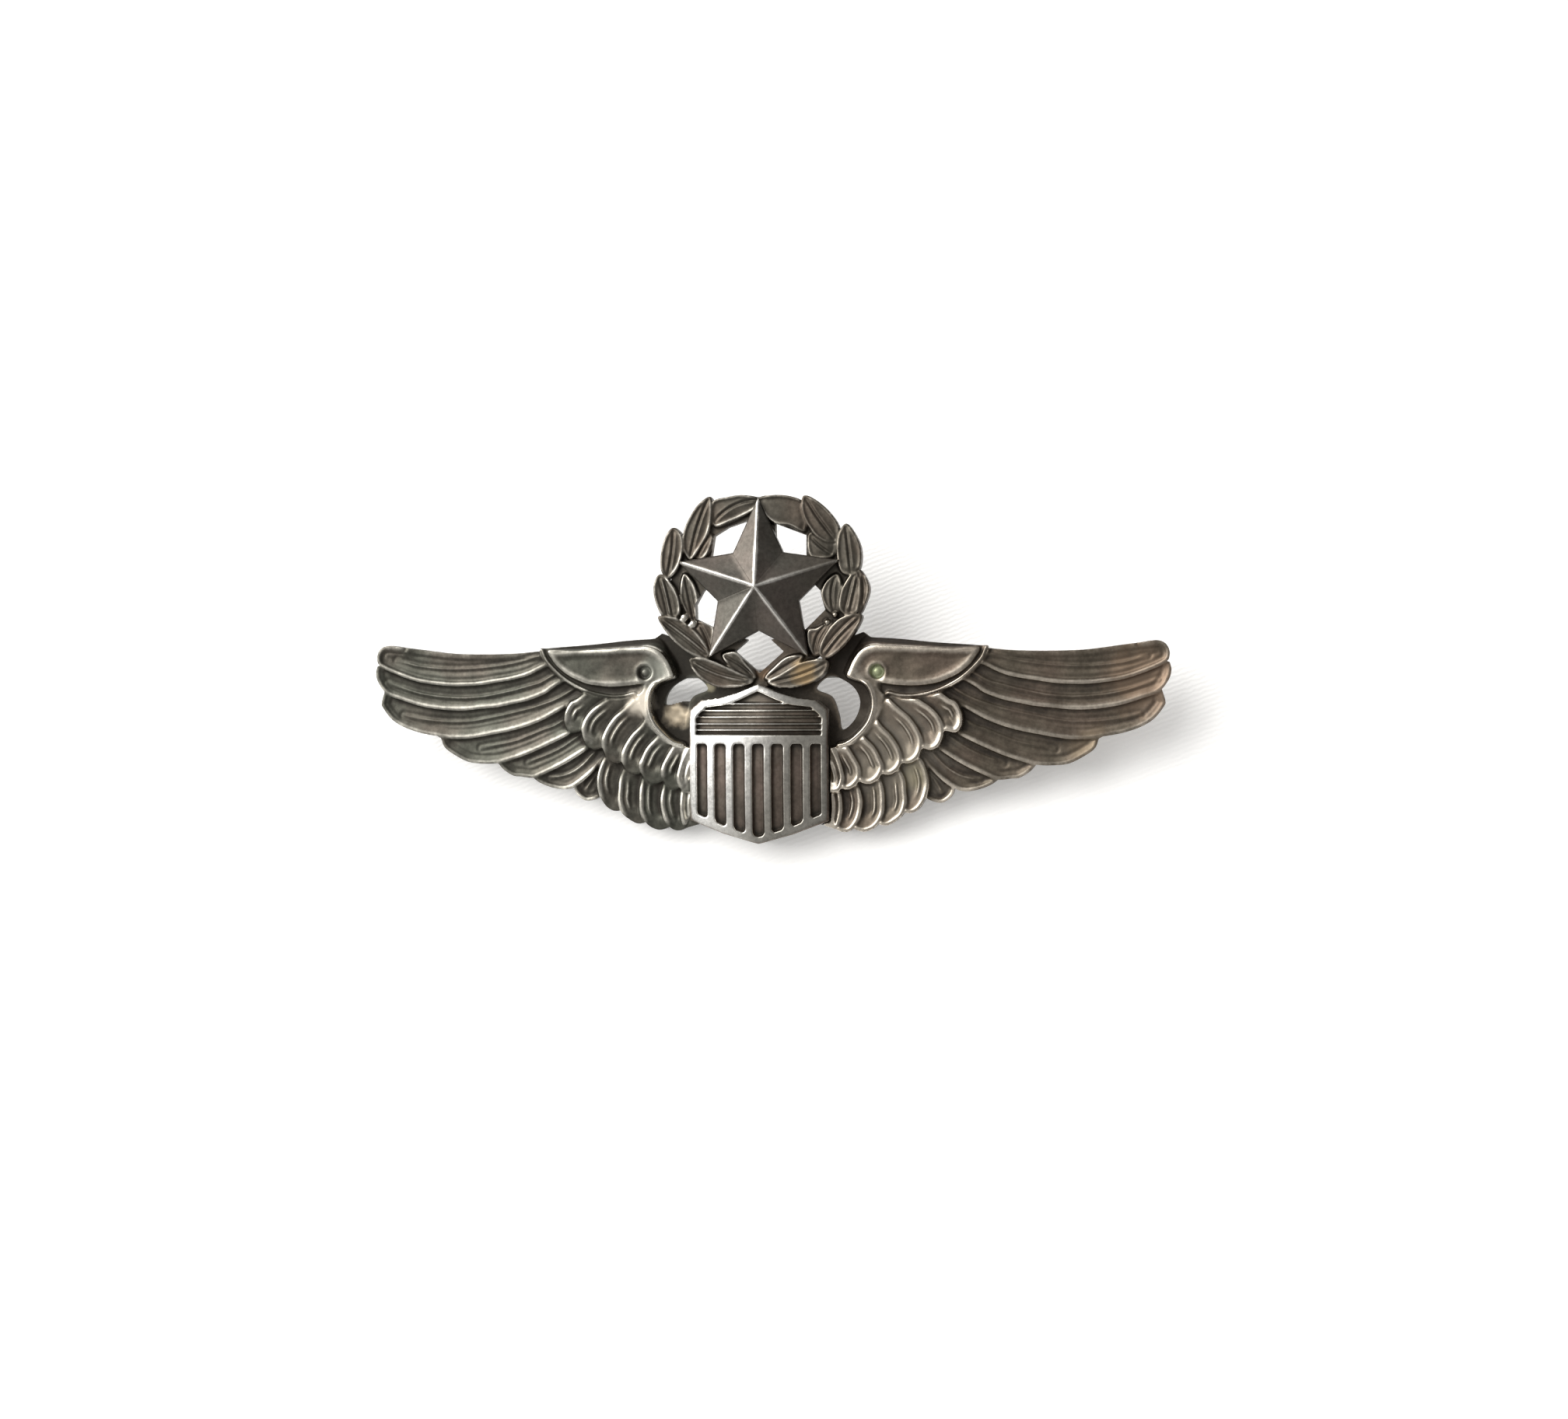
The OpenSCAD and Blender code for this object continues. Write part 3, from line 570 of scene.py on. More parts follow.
def wingRelief(x, v):
    u = np.abs(x)
    height = np.full(x.shape, plateT)
    solid = within(u, v, np.array(wings["web"], float))
    for k in range(len(wings["long"]) - 1, -1, -1):
        feather = wings["long"][k]
        over = spline(wings["long"][k - 1]["rib"]) if k else spline(wings["topLine"])
        depth = within(u, v, np.concatenate([spline(feather["edge"]), over]))
        near = depth > -0.3
        height[near] = lay(height[near], depth[near], longTop(u[near], v[near], feather, k == 0))
        solid = np.maximum(solid, depth)
    tips = np.zeros(x.shape)
    height, lowerRow, tips = shortRow(x, v, height, tips, wings["lower"], wings["lowerTop"])
    height, upperRow, tips = shortRow(x, v, height, tips, wings["upper"], wings["upperTop"])
    short = ease(1 + np.maximum(lowerRow, upperRow) / 0.3)

    shoulder = within(u, v, spline(wings["shoulder"], closed=True))
    back = within(u, v, spline(wings["shoulderBack"], closed=True))
    height = lay(height, back, 1.0 + 0.75 * ease(1 + shoulder / 0.85))
    fillet = 0.8 + 0.7 * ease(1 + shoulder / 0.7)
    height = np.where((u < 12) & (v > 2.4) & (shoulder < 0), np.maximum(height, fillet), height)
    neck = within(u, v, spline(wings["neckOuter"] + wings["hook"][:0:-1], closed=True))
    h, _ = nearLine(u, v, spline(wings["hook"]))
    neckTop = wings["neckTop"] + wings["hookRim"] * hump(h - 0.18, 0.16) + 0.06 * hump(h, 0.9)
    neckTop = neckTop - 0.1 * ease((h - 1) / 1.5)
    soft = 0.2 + 0.7 * ease((h - 0.4) / 0.8)
    cover = ease(neck / soft + 1 - ease((h - 0.3) / 0.5))
    height = height * (1 - cover) + neckTop * cover
    o, _ = nearLine(u, v, spline(wings["outerRidge"]))
    groove = 1.72 + 0.26 * hump(o - 0.2, 0.16)
    head = ease((13.2 - u) / 2.2)
    height = lay(height, shoulder, np.maximum(groove, wings["headTop"] * head))
    panel = within(u, v, spline(wings["panel"], closed=True))
    p, _ = nearLine(u, v, spline(wings["panelRim"]))
    dish = wings["panelTop"] + wings["panelRimHeight"] * hump(p - 0.3, 0.26) - 0.07 * ease((p - 0.4) / 0.6)
    dish = dish + 0.02 * waves(x, v, 23, 3.5)
    e = np.hypot(u - wings["eye"][0], v - wings["eye"][1])
    dish = dish + 0.06 * hump(e - 0.85, 0.2) - wings["eyeDepth"] * ease((wings["eyeRadius"] - e) / 0.16)
    dish = dish + 0.26 * np.sqrt(np.clip(1 - (e / wings["pupilRadius"]) ** 2, 0, 1))
    height = lay(height, panel, dish, 0.12)
    solid = np.maximum.reduce([solid, lowerRow, upperRow, back, neck, shoulder])
    hole = within(u, v, spline(wings["hole"], closed=True))
    clogged = (x < 0) & (v < -0.3 + 0.15 * np.sin(u * 1.9))     # residue in the left opening's lower part
    height = np.where((hole > 0) & clogged, wings["residueTop"] + 0.05 * waves(x, v, 8, 0.8), height)
    solid = np.minimum(solid, np.where(clogged, 0.3, -hole))
    seat = wings["wreathSeat"] - np.hypot(u, v - wings["wreathCentre"])
    flat = np.maximum(seat, within(u, v, shieldOutline(0.02)))
    height = height + 0.012 * waves(x, v, 3, 2.2) * ease((height - 0.9) / 0.3)
    wearAndPaintedLight = wings["longWear"] + wings["shortWear"] * ease((21.5 - u) / 4)
    # painted light: the tips of the left wing's short feathers are darkened as painted shade, and the right
    # wing's short feathers are brightened as painted highlight
    wearAndPaintedLight = wearAndPaintedLight * np.where(x < 0, 1 - 1.4 * tips, 1 + 0.8 * short * (u < 19.2))
    wearAndPaintedLight = wearAndPaintedLight * (1 + 0.5 * hump(h - 0.2, 0.3) * (neck > -0.2)) * (1 - 0.45 * (panel > 0))
    return lay(height, flat, plateT, 0.08), solid, wearAndPaintedLight


shieldForm = {
    "cell": 0.07, "front": 3.6, "border": 0.58, "deep": 0.5, "grooves": 7, "share": 0.63, "barLow": -4.15,
    "recessLow": -3.35, "ridgeDrop": 0.36,
    "ridges": (-0.42, -1.03, -1.65, -2.31, -2.89), "halfWidth": 6.55, "crown": 1.15,
}


def shieldOutline(inset=0.0):
    half, top, low = shieldForm["halfWidth"] - inset, upperPoint - inset * 1.1, -13.6 + inset * 1.1
    right = [(0, top), (half * 0.3, top - 0.82), (half * 0.56, top - 1.3), (half * 0.84, top - 1.5),
             (half, top - 2.4), (half, low + 2.2), (half * 0.5, low + 0.95), (0.4, low + 0.13),
             (0, low + 0.04)]
    return np.array(right + [(-x, v) for x, v in right[-2:0:-1]], float)


wingLook = {
    "tarnish": {"Wear From": 0.02, "Wear To": 0.22, "Grime From": -0.17, "Grime To": -0.02,
                "Blotch Size": 420.0, "Unevenness": 1.0, "Patina": (0.090, 0.090, 0.075),
                "Warm Patina": (0.104, 0.092, 0.077), "Worn": (0.56, 0.54, 0.48),
                "Grime": (0.026, 0.022, 0.016)},
    "tintAndShadeSlant": (1.0, 0.0, -6, 10),          # the right side of the badge has gone browner than the left
    "right": {"Patina": (0.115, 0.098, 0.076), "Warm Patina": (0.135, 0.106, 0.084),
              "Worn": (0.60, 0.54, 0.46), "Grime": (0.028, 0.021, 0.015)},
    # across, up, radius, tint, strength and how much less metallic
    "stains": [
        (-11.6, -0.3, 1.7, (0.74, 0.67, 0.56), 0.85, 0.8), (-10.2, 2.8, 1.7, (0.36, 0.37, 0.32), 0.5, 0.4),
        (-8.2, -1.5, 1.6, (0.95, 0.80, 0.58), 1.0, 1.0), (-4.9, 1.3, 0.7, (0.50, 0.45, 0.30), 0.8, 0.8),
        (11.1, 2.6, 0.9, (0.42, 0.47, 0.28), 0.8, 0.6), (35.5, 2.0, 4.5, (0.26, 0.18, 0.12), 0.45, 0.2),
        (31.0, -4.8, 3.0, (0.22, 0.17, 0.11), 0.4, 0.2), (14.6, -7.2, 1.6, (0.34, 0.31, 0.18), 0.4, 0.3),
        (13.0, -5.0, 6.5, (0.30, 0.27, 0.22), 0.4, 0.1)],
}
wingSilver = agedSilver("patinatedSilver", wingLook)
for side, low, high in (("left", -38.4, 0.0), ("right", 0.0, 38.4)):
    wing = struckPiece(f"wing_{side}", (low, -12.9), (high, 7.4), wings["cell"], wingRelief,
                       lambda x, v: 0.012 + 0.006 * waves(x, v, 5, 4.0), edgeWear=0.09)
    settle(wing, "badge", "patinated_silver", wingSilver, *(["wings_plate"] if side == "left" else []))


# ---- shield ----

def shieldRelief(x, v):
    form = shieldForm
    depth = within(x, v, shieldOutline())
    inner = within(x, v, shieldOutline(form["border"]))
    lift = form["front"] - form["crown"] * (0.55 * (x / form["halfWidth"]) ** 2
                                            + 0.45 * ((v + 6.1) / 7.5) ** 2)
    pitch = 2 * (form["halfWidth"] - form["border"]) / (form["grooves"] - 0.42)
    place = (x + form["halfWidth"] - form["border"]) / pitch
    across = (place - np.floor(place)) * pitch                  # from a groove's left side
    half = pitch * form["share"] / 2
    end = np.minimum(form["barLow"] - v, inner)
    groove = half - np.abs(across - half) - 0.26 * (np.clip(0.42 - end, 0, 0.42) / 0.42) ** 2.5
    cut = ease(np.minimum(groove, end) / 0.16 + 0.1)
    recess = ease(np.minimum(v - form["recessLow"], inner) / 0.14 + 0.15)
    ridges = sum(ease((0.15 - np.abs(v - r)) / 0.11) for r in form["ridges"])
    height = lift - form["deep"] * cut - recess * (form["deep"] - form["ridgeDrop"] * ridges)
    height = height - 0.12 * (1 - np.clip(depth / 0.25, 0, 1)) ** 2
    return height + 0.012 * waves(x, v, 11, 2.4), depth, 1.0


shieldLook = {
    "tarnish": {"Wear From": -0.07, "Wear To": 0.06, "Grime From": -0.34, "Grime To": -0.10,
                "Blotch Size": 300.0, "Unevenness": 0.8, "Patina": (0.145, 0.130, 0.108),
                "Warm Patina": (0.165, 0.128, 0.108), "Worn": (0.93, 0.92, 0.89),
                "Grime": (0.024, 0.020, 0.014)},
    "tintAndShadeSlant": (1.0, -0.35, -2.0, 6.5),     # painted reflection: brightest at the left, falling into painted shade towards the lower right
    "right": {"Worn": (0.36, 0.345, 0.31), "Patina": (0.13, 0.108, 0.088)},
}
shield = struckPiece("shield_relief", (-6.8, -13.9), (6.8, 1.7), shieldForm["cell"], shieldRelief,
                     lambda x, v: np.full(x.shape, plateT))
settle(shield, "badge", "polished_silver", agedSilver("polishedSilver", shieldLook), "shield")


# ---- wreath ----

wreathForm = {
    "cell": 0.08, "centre": 10.5, "bandIn": 5.0, "bandOut": 8.55, "bandTop": 1.84, "leafTop": 2.14,
    # leaf outlines, lowest first, each with how much higher than the ones before it lies
    "leaves": [
        [(-4.4, 15.4), (-5.3, 15.8), (-6.0, 15.0), (-6.2, 13.6), (-5.6, 13.2), (-4.9, 13.8)],
        [(4.8, 15.6), (6.2, 15.4), (7.3, 14.7), (7.0, 13.3), (5.1, 13.2), (4.6, 14.4)],
        [(-7.3, 11.9), (-6.4, 11.2), (-5.9, 9.8), (-5.9, 8.2), (-6.2, 7.2), (-7.0, 8.1), (-7.6, 9.9)],
        [(7.5, 11.7), (6.5, 11.2), (5.9, 9.9), (6.5, 8.3), (7.5, 8.1), (7.9, 10.2)],
        [(-6.0, 7.4), (-4.4, 6.9), (-4.3, 5.4), (-4.7, 4.2), (-5.6, 4.8), (-6.3, 6.2)],
        [(6.9, 7.3), (5.6, 6.7), (4.6, 6.4), (4.7, 4.8), (5.4, 4.0), (6.3, 5.0)],
        [(-3.6, 4.2), (-2.3, 4.5), (-1.4, 3.6), (-0.3, 2.1), (-1.2, 1.9), (-2.7, 2.9)],
        [(4.2, 4.1), (2.7, 4.0), (1.5, 3.1), (0.5, 2.0), (1.4, 1.8), (3.3, 2.8)],
        [(0.1, 18.9), (-1.5, 19.25), (-3.0, 19.1), (-4.4, 18.7), (-4.6, 17.4), (-4.2, 16.3), (-2.6, 16.8),
         (-1.2, 17.4), (-0.2, 18.0)],
        [(-0.1, 18.9), (1.6, 19.2), (3.2, 19.0), (4.3, 18.4), (4.6, 16.9), (4.3, 15.7), (2.9, 16.3),
         (1.6, 16.5), (0.5, 17.4)],
        [(-4.6, 19.1), (-5.4, 18.8), (-6.3, 17.8), (-7.2, 16.0), (-7.3, 14.3), (-6.6, 13.2), (-5.7, 14.2),
         (-4.8, 15.8), (-4.5, 17.5)],
        [(4.3, 19.1), (5.5, 18.6), (6.8, 17.4), (7.6, 16.1), (7.5, 14.8), (6.6, 14.6), (5.4, 15.3),
         (4.5, 16.6), (4.05, 18.0)],
        [(-8.2, 16.3), (-8.9, 15.6), (-9.4, 14.0), (-9.4, 12.2), (-8.7, 11.5), (-7.8, 12.4), (-7.3, 14.0),
         (-7.4, 15.5)],
        [(8.2, 16.4), (9.0, 15.6), (9.65, 14.1), (9.6, 12.4), (8.9, 11.6), (7.8, 11.9), (7.4, 13.4),
         (7.5, 15.2)],
        [(9.5, 12.1), (10.2, 11.2), (10.45, 10.2), (10.1, 9.0), (9.5, 8.0), (8.9, 9.4), (9.0, 11.2)],
        [(-9.5, 11.9), (-10.1, 11.0), (-10.05, 9.6), (-9.4, 8.0), (-8.6, 7.4), (-7.6, 8.1), (-7.7, 9.6),
         (-8.4, 11.0)],
        [(9.3, 11.9), (8.5, 11.4), (7.8, 10.1), (7.6, 8.5), (8.3, 7.8), (9.3, 8.1), (9.65, 9.6), (9.6, 11.1)],
        [(-9.75, 7.75), (-9.0, 7.9), (-7.9, 7.75), (-6.9, 7.2), (-5.6, 5.9), (-4.7, 4.2), (-5.6, 3.9),
         (-7.2, 4.7), (-8.7, 6.1)],
        [(9.75, 7.8), (8.6, 7.9), (7.3, 7.3), (6.1, 5.7), (5.7, 4.3), (6.4, 3.8), (7.8, 4.7), (9.1, 6.3)],
        [(-6.7, 3.75), (-5.9, 3.95), (-4.6, 3.75), (-2.7, 2.9), (-0.6, 1.8), (-1.5, 1.25), (-3.7, 1.1),
         (-5.2, 1.7), (-6.2, 2.6)],
        [(6.5, 3.6), (5.5, 3.75), (3.9, 3.4), (2.1, 2.4), (0.8, 1.6), (2.0, 1.05), (4.0, 1.2), (5.7, 1.9),
         (6.5, 2.8)]],
    "smooth": (9,),                        # the topmost right leaf has lost its vein
    "paired": (14, 15, 16, 17, 18, 19),    # leaves with a vein between two cuts, the others have one cut
    "cross": [(-3.0, 3.0), (-1.2, 3.2), (0.0, 3.0), (1.2, 3.2), (3.0, 3.0), (3.4, 1.4), (0.0, 1.2),
            (-3.4, 1.4)],
    "windows": [                           # the openings between the points of the star, the lowest one first
        [(-2.4, 4.55), (0.0, 6.6), (2.3, 4.5), (-0.05, 2.45)],
        [(-4.8, 11.0), (-5.5, 10.2), (-6.15, 9.0), (-6.1, 7.6), (-4.45, 6.8), (-3.0, 8.0), (-3.2, 10.6)],
        [(5.0, 11.0), (5.8, 10.2), (6.25, 8.4), (4.3, 6.5), (3.0, 8.0), (3.2, 10.6)],
        [(-0.9, 17.0), (-3.0, 16.3), (-4.35, 15.5), (-4.65, 13.6), (-4.6, 12.6), (-1.6, 12.5)],
        [(1.5, 16.6), (4.47, 15.45), (4.46, 12.8), (1.6, 12.5)]],
    "berries": [(-7.2, 7.75, 0.42), (-6.35, 7.15, 0.42), (7.2, 7.9, 0.28), (6.45, 7.2, 0.28)],
    "berryHeight": 2.1,
}


def wreathRelief(x, v):
    form = wreathForm
    out = np.hypot(x, v - form["centre"])
    middle = (form["bandIn"] + form["bandOut"]) / 2
    band = (form["bandOut"] - form["bandIn"]) / 2 - np.abs(out - middle)
    solid = np.maximum(band, within(x, v, np.array(form["cross"])))
    height = np.full(x.shape, form["bandTop"])
    for k, points in enumerate(form["leaves"]):
        line = spline(points, closed=True)
        depth = within(x, v, line)
        near = depth > -0.3
        px, pv, d = x[near], v[near], depth[near]
        gap = np.linalg.norm(line[:, None] - line[None, :], axis=2)
        a, b = np.unravel_index(gap.argmax(), gap.shape)
        start, along = line[a], line[b] - line[a]
        length = np.linalg.norm(along)
        along = along / length
        s = (px - start[0]) * along[0] + (pv - start[1]) * along[1]
        side = -(px - start[0]) * along[1] + (pv - start[1]) * along[0]
        bow = -((line[:, 0] - start[0]) * along[1]) + (line[:, 1] - start[1]) * along[0]
        side = side - (bow.max() + bow.min()) * 2.0 * (s / length) * (1 - s / length)
        ends = ease(np.minimum(s, length - s) / 1.1)
        top = form["leafTop"] + 0.01 * k + 0.09 * hump(d - 0.13, 0.11) + 0.03 * ease((d - 0.4) / 0.5)
        if k in form["paired"]:
            top = top + (0.05 * crease(side, 0.16) - 0.14 * hump(np.abs(side) - 0.26, 0.12)) * ends
        elif k not in form["smooth"]:
            top = top + (0.03 * hump(np.abs(side) - 0.24, 0.12) - 0.15 * hump(side, 0.1)) * ends
        top = top - 0.12 * ease(1 - s / 0.8) - 0.12 * ease(1 - (length - s) / 0.8)
        height[near] = lay(height[near], d, np.minimum(top, 2.44), 0.14)
        solid = np.maximum(solid, depth)
    berries = np.zeros(x.shape)
    for bx, bv, radius in form["berries"]:
        r = np.hypot(x - bx, v - bv)
        dome = form["berryHeight"] + 0.8 * radius * np.sqrt(np.clip(1 - (r / radius) ** 2, 0, 1))
        height = np.where(r < radius, np.maximum(height, dome), height - 0.1 * hump(r - radius - 0.06, 0.08))
        berries = np.maximum(berries, ease((radius - r) / 0.1 + 1))
    flat = within(x, v, shieldOutline(0.0))
    for window in form["windows"]:
        flat = np.maximum(flat, within(x, v, np.array(window, float)))
    solid = np.minimum(solid, -flat)
    # the berries on the left are made much brighter than those on the right
    wearAndPaintedLight = 1 + np.where(x < 0, 4, 0.5) * berries
    return np.maximum(height, 1.15) + 0.008 * waves(x, v, 17, 1.8), solid, wearAndPaintedLight


wreathLook = {
    "tarnish": {"Wear From": 0.02, "Wear To": 0.20, "Grime From": -0.24, "Grime To": -0.04,
                "Blotch Size": 420.0, "Unevenness": 1.0, "Patina": (0.082, 0.075, 0.062),
                "Warm Patina": (0.098, 0.080, 0.064), "Worn": (0.60, 0.57, 0.51),
                "Grime": (0.030, 0.024, 0.018)},
    # painted shade: the worn rims are dimmer towards the right
    "tintAndShadeSlant": (1.0, 0.0, -2.0, 9.0),
    "right": {"Worn": (0.40, 0.36, 0.30)},
    "stains": [(4.3, 2.5, 1.7, (0.26, 0.18, 0.09), 0.7, 0.2), (0.2, 2.6, 1.0, (0.14, 0.08, 0.04), 0.5, 0.2)],
}
wreath = struckPiece("laurel_wreath", (-10.9, 0.6), (10.9, 19.6), wreathForm["cell"], wreathRelief,
                     lambda x, v: np.full(x.shape, plateT), broadShare=0.3)
settle(wreath, "badge", "dark_silver", agedSilver("darkSilver", wreathLook), "wreath")


# ---- star ----

starForm = {
    "centre": 10.5, "points": 8.06, "topLonger": 0.35, "corners": 4.05, "seat": 1.9, "rim": 2.8, "peak": 5.07,
    "across": 22, "along": 56,             # faces across and along each facet
}


def makeStar():
    form = starForm
    points, faces, ridge, broad = [], [], [], []
    n, m = form["across"], form["along"]
    for k in range(10):
        tip, corner = (k, k + 1) if k % 2 == 0 else (k + 1, k)
        ends = []
        for i in (tip, corner):
            r, a = (form["points"] if i % 2 == 0 else form["corners"]), math.radians(90 + 36 * i)
            r += form["topLonger"] if i % 10 == 0 else 0
            ends.append((r * math.cos(a), r * math.sin(a)))
        (tx, tv), (cx, cv) = ends
        start = len(points)
        for i in range(m + 1):
            s = (i / m) ** 0.9
            for j in range(n + 1):
                t = 0.5 - 0.5 * math.cos(math.pi * j / n)
                x, v = s * (tx + (cx - tx) * t), s * (tv + (cv - tv) * t)
                fromRidge = abs(x * tv - v * tx) / math.hypot(tx, tv)
                fromValley = abs(x * cv - v * cx) / math.hypot(cx, cv)
                h = form["peak"] + (form["rim"] - form["peak"]) * s
                h += -0.05 * math.exp(-(fromRidge / 0.16) ** 2) + 0.06 * math.exp(-(fromValley / 0.22) ** 2)
                h -= 0.06 * math.sin(math.pi * t) * s * (1 - 0.5 * s)      # the facets are slightly hollow
                if s > 0.97:
                    h -= 0.08 * ((s - 0.97) / 0.03) ** 2
                points.append((x, h, v + form["centre"]))
                worn = 0.15 * math.exp(-(fromRidge / 0.17) ** 2) - 0.05 * math.exp(-(fromValley / 0.5) ** 2)
                ridge.append(worn + 0.02 + (0.03 if s > 0.985 else 0))
                broad.append(0.12 * (1 - s))
        for h, grow in ((form["rim"] - 0.25, 1.003), (form["seat"], 1.0)):
            for j in range(n + 1):
                t = 0.5 - 0.5 * math.cos(math.pi * j / n)
                points.append(((tx + (cx - tx) * t) * grow, h, (tv + (cv - tv) * t) * grow + form["centre"]))
                ridge.append(-0.03)
                broad.append(-0.08)
        points.append((0, form["seat"], form["centre"]))
        ridge.append(0)
        broad.append(0)
        flip = k % 2 == 1
        for i in range(m + 2):
            for j in range(n):
                a = start + i * (n + 1) + j
                face = [a, a + n + 1, a + n + 2, a + 1]
                faces.append(face[::-1] if flip else face)
        last = start + (m + 2) * (n + 1)
        for j in range(n):
            face = [last + j, last + n + 1, last + j + 1]
            faces.append(face[::-1] if flip else face)
    star = meshPiece("star_facets", np.array(points), faces, np.array(ridge), np.array(broad))
    work = bmesh.new()
    work.from_mesh(star.data)
    bmesh.ops.remove_doubles(work, verts=work.verts, dist=0.002 * mm)
    bmesh.ops.recalc_face_normals(work, faces=work.faces)
    work.to_mesh(star.data)
    work.free()
    star.data.set_sharp_from_angle(angle=math.radians(40))
    return star


starLook = {
    "tarnish": {"Wear From": 0.05, "Wear To": 0.18, "Grime From": -0.20, "Grime To": -0.05,
                "Blotch Size": 380.0, "Unevenness": 0.9, "Patina": (0.105, 0.099, 0.086),
                "Warm Patina": (0.120, 0.103, 0.090), "Worn": (0.70, 0.68, 0.64),
                "Grime": (0.030, 0.024, 0.018)},
    # painted shade: the worn ridges and the patina are darker towards the right
    "tintAndShadeSlant": (1.0, 0.0, 0.5, 6.0),
    "right": {"Worn": (0.30, 0.28, 0.25), "Patina": (0.095, 0.085, 0.072)},
}
settle(makeStar(), "badge", "star_silver", agedSilver("starSilver", starLook), "star")


# ---- clasp on the back ----

claspLook = {
    "tarnish": {"Wear From": 0.0, "Wear To": 0.05, "Grime From": -0.10, "Grime To": -0.03,
                "Blotch Size": 900.0, "Unevenness": 0.8, "Patina": (0.30, 0.29, 0.27),
                "Warm Patina": (0.28, 0.25, 0.22), "Worn": (0.62, 0.61, 0.58), "Grime": (0.05, 0.045, 0.04)},
    "rounding": 0.07, "roundingSteps": 2, "roundingAngle": 35,
}
wireLook = {"tarnish": {**claspLook["tarnish"], "Patina": (0.42, 0.42, 0.41),
                        "Warm Patina": (0.36, 0.34, 0.32), "Blotch Size": 1400.0}}
findingSilver, pinWire = agedSilver("findingSilver", claspLook), agedSilver("pinWire", wireLook)
for name in ("hinge_base", "hinge_bracket", "hinge_rivet", "pin_stem", "catch_base", "catch_housing",
             "catch_roller"):
    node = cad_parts[name]
    node.data.materials.clear()
    node.data.materials.append(pinWire if name == "pin_stem" else findingSilver)
    if name != "pin_stem":
        rounded = node.modifiers.new("rounded", "BEVEL")
        rounded.width, rounded.segments = claspLook["rounding"] * mm, claspLook["roundingSteps"]
        rounded.limit_method, rounded.angle_limit = "ANGLE", math.radians(claspLook["roundingAngle"])
print("clasp finished")


# ---- cloth, light and camera ----

clothForm = {
    "tilt": 17.0, "size": 900.0, "cells": 40,      # degrees, mm
    "behind": 0.05, "touchUp": -13.75,             # mm, where the badge's lower edge meets the cloth
    "white": (0.93, 0.93, 0.93, 1), "rough": 0.9, "glow": (1.0, 0.995, 0.98, 1), "glowStrength": 0.22,
    "weaveTurn": 20, "weaveScale": 683.0, "weaveBump": 0.22,
}
lights = {
    # azimuth and elevation seen from the badge, then metres away, width, height, watts and colour
    "window": (-64, 29, 1.0, 1.0, 1.0, 8.5, (1.0, 0.985, 0.96)),
    "frontSoft": (-37, 26, 1.0, 0.85, 0.95, 6.0, (1.0, 0.985, 0.96)),
    "behind": (158, 25, 1.0, 1.2, 1.0, 26.0, (1.0, 0.985, 0.96)),
}
world = {"left": 0.7, "right": 0.3, "seen": 0.93, "colour": (1.0, 0.985, 0.96)}
camera = {
    "azimuth": 9.14, "elevation": 0.30, "roll": -0.15, "distance": 177.6, "target": (2.0, -0.98),
    "lens": 42.857, "sensor": 36.0, "near": 0.01, "far": 10.0,
}


def towards(azimuth, elevation):
    # a unit vector from the badge, with azimuth 0 straight in front of it
    a, e = math.radians(azimuth), math.radians(elevation)
    return Vector((math.sin(a) * math.cos(e), -math.cos(a) * math.cos(e), math.sin(e)))


def makeCloth():
    touch = Vector((0, backY + clothForm["behind"] * mm, datumZ + clothForm["touchUp"] * mm))
    tilt = math.radians(clothForm["tilt"])
    half, count = clothForm["size"] / 2 * mm, clothForm["cells"]
    up, across = Vector((0, math.sin(tilt), math.cos(tilt))), Vector((1, 0, 0))
    points = [touch + across * half * (2 * i / count - 1) + up * half * (2 * j / count - 1)
              for j in range(count + 1) for i in range(count + 1)]
    row = count + 1
    faces = [(j * row + i, j * row + i + 1, (j + 1) * row + i + 1, (j + 1) * row + i)
             for j in range(count) for i in range(count)]
    mesh = bpy.data.meshes.new("cloth")
    mesh.from_pydata(points, [], faces)
    cloth = bpy.data.objects.new("cloth", mesh)
    bpy.context.scene.collection.objects.link(cloth)
    mesh.materials.append(whiteCloth())


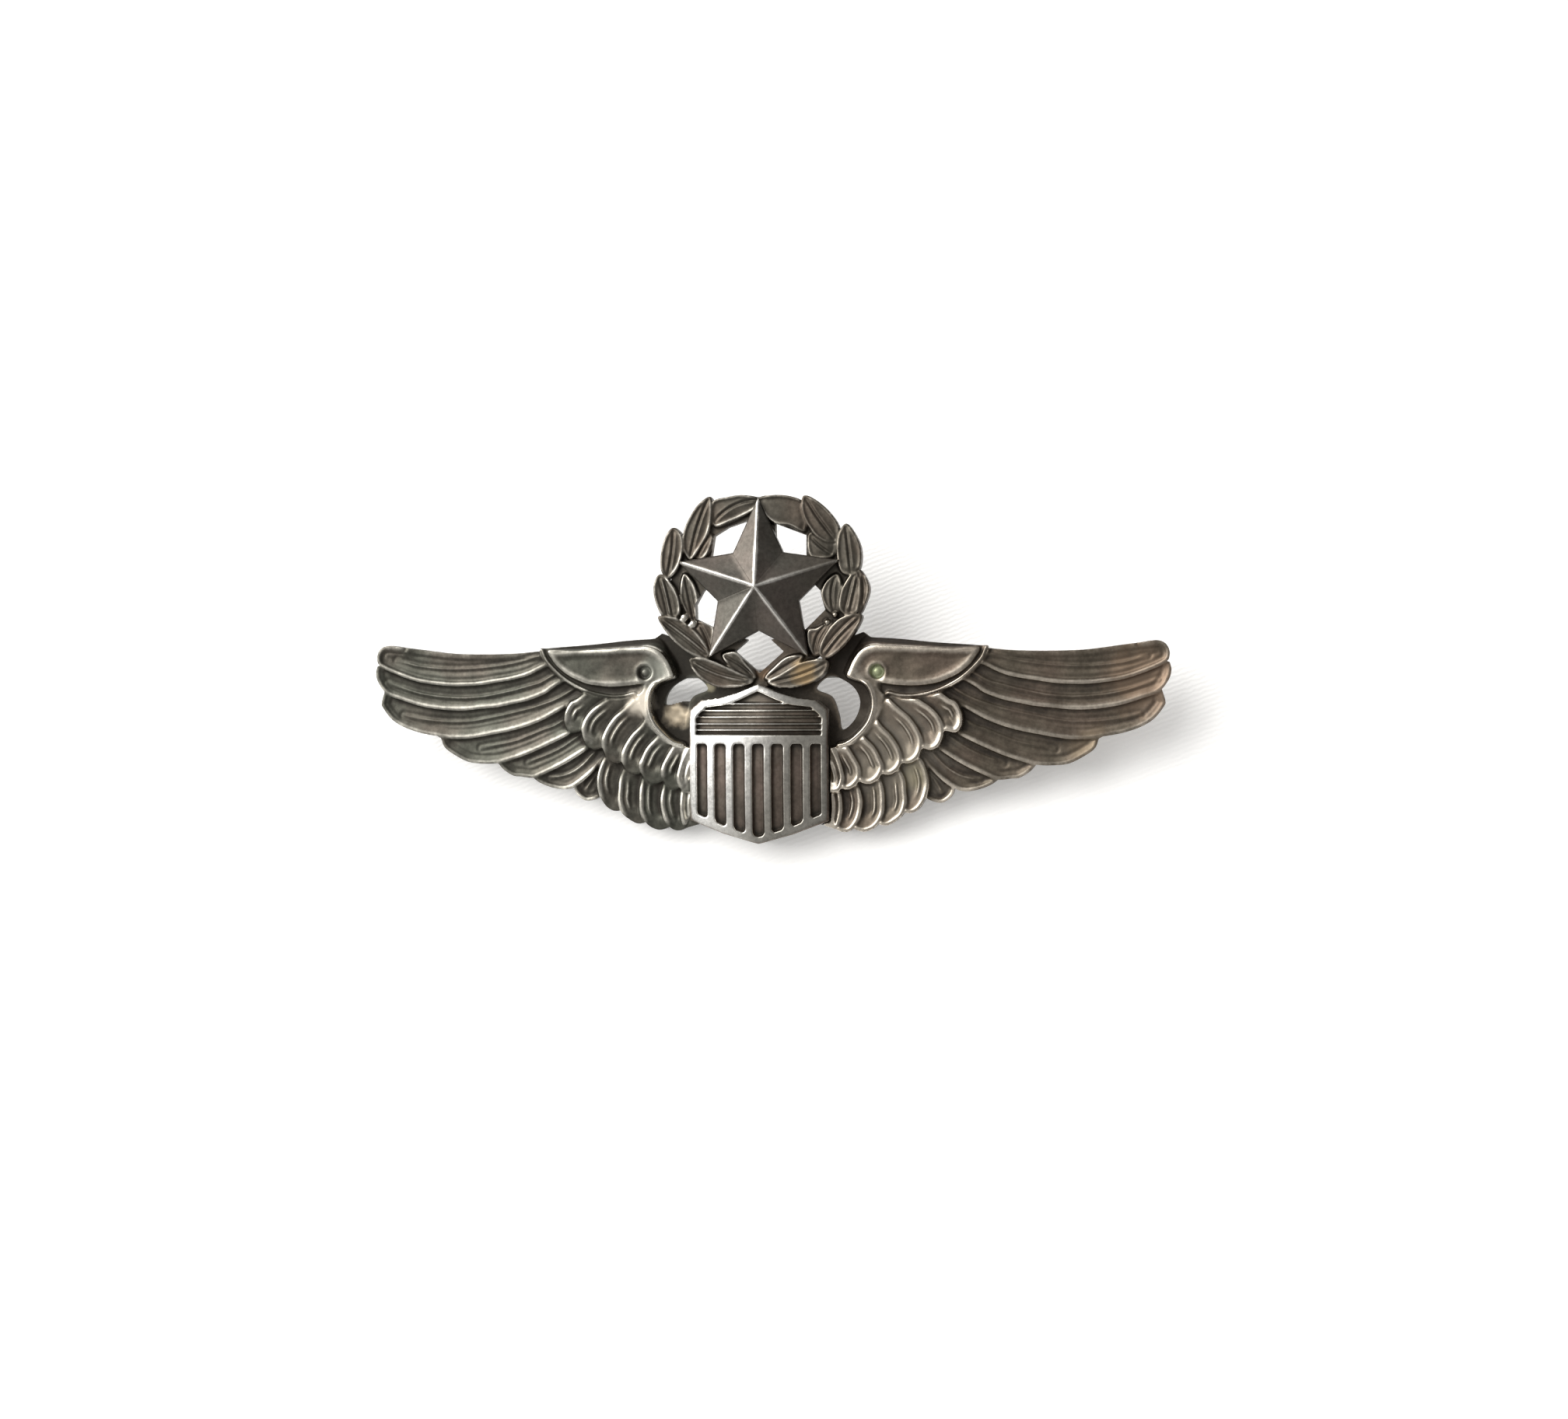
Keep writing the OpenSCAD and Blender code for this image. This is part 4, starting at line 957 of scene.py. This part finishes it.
def whiteCloth():
    material = bpy.data.materials.new("whiteCloth")
    material.use_nodes = True
    tree = material.node_tree
    shader = tree.nodes["Principled BSDF"]
    shader.inputs["Base Color"].default_value = clothForm["white"]
    shader.inputs["Roughness"].default_value = clothForm["rough"]
    shader.inputs["Emission Color"].default_value = clothForm["glow"]
    shader.inputs["Emission Strength"].default_value = clothForm["glowStrength"]
    place = put(tree, "TexCoord").outputs["Object"]
    turned = put(tree, "Mapping",
                 {"Vector": place, "Rotation": (0, math.radians(clothForm["weaveTurn"]), 0)}).outputs[0]
    weave = put(tree, "TexWave",
                {"Vector": turned, "Scale": clothForm["weaveScale"], "Distortion": 3.0, "Detail": 2.0,
                 "Detail Scale": 2.0}, bands_direction="Z").outputs[0]
    bump = put(tree, "Bump", {"Strength": clothForm["weaveBump"], "Distance": 0.00012, "Height": weave})
    tree.links.new(bump.outputs[0], shader.inputs["Normal"])
    # the sheet can be seen from its front only, so it never hides the back of the badge
    seeThrough = put(tree, "BsdfTransparent")
    rear = put(tree, "NewGeometry").outputs["Backfacing"]
    oneSided = put(tree, "MixShader", {0: rear, 1: shader.outputs[0], 2: seeThrough.outputs[0]})
    tree.links.new(oneSided.outputs[0], tree.nodes["Material Output"].inputs["Surface"])
    return material


def makeLights():
    aim = Vector((0, backY, datumZ))
    for name, (azimuth, elevation, distance, width, height, watts, colour) in lights.items():
        light = bpy.data.lights.new(name, "AREA")
        light.shape, light.size, light.size_y = "RECTANGLE", width, height
        light.energy, light.color = watts, colour
        lamp = bpy.data.objects.new(name, light)
        back = towards(azimuth, elevation)
        lamp.location = aim + back * distance
        lamp.rotation_euler = (-back).to_track_quat("-Z", "Y").to_euler()
        bpy.context.scene.collection.objects.link(lamp)


def makeWorld():
    room = bpy.data.worlds.new("room")
    room.use_nodes = True
    bpy.context.scene.world = room
    tree = room.node_tree
    sky = put(tree, "SeparateXYZ", {0: put(tree, "TexCoord").outputs["Generated"]})
    tree.nodes["Background"].inputs["Color"].default_value = (*world["colour"], 1)
    seen = put(tree, "LightPath").outputs["Is Camera Ray"]
    lit = put(tree, "Mix",
              {0: seen, 2: span(tree, sky.outputs[0], -0.7, 0.7, world["left"], world["right"]),
               3: world["seen"]}).outputs[0]
    tree.links.new(lit, tree.nodes["Background"].inputs["Strength"])


def makeCamera():
    view = bpy.data.cameras.new("camera")
    view.lens, view.sensor_width = camera["lens"], camera["sensor"]
    view.clip_start, view.clip_end = camera["near"], camera["far"]
    eye = bpy.data.objects.new("camera", view)
    bpy.context.scene.collection.objects.link(eye)
    back = towards(camera["azimuth"], camera["elevation"])
    target = Vector((camera["target"][0] * mm, backY, datumZ + camera["target"][1] * mm))
    eye.location = target + back * camera["distance"] * mm
    eye.rotation_mode = "QUATERNION"
    roll = Matrix.Rotation(math.radians(camera["roll"]), 3, "Z").to_quaternion()
    eye.rotation_quaternion = (-back).to_track_quat("-Z", "Y") @ roll
    bpy.context.scene.camera = eye
    bpy.context.scene.view_settings.view_transform = "Standard"


makeCloth()
makeLights()
makeWorld()
makeCamera()
print("stage ready")

print("scene ready")
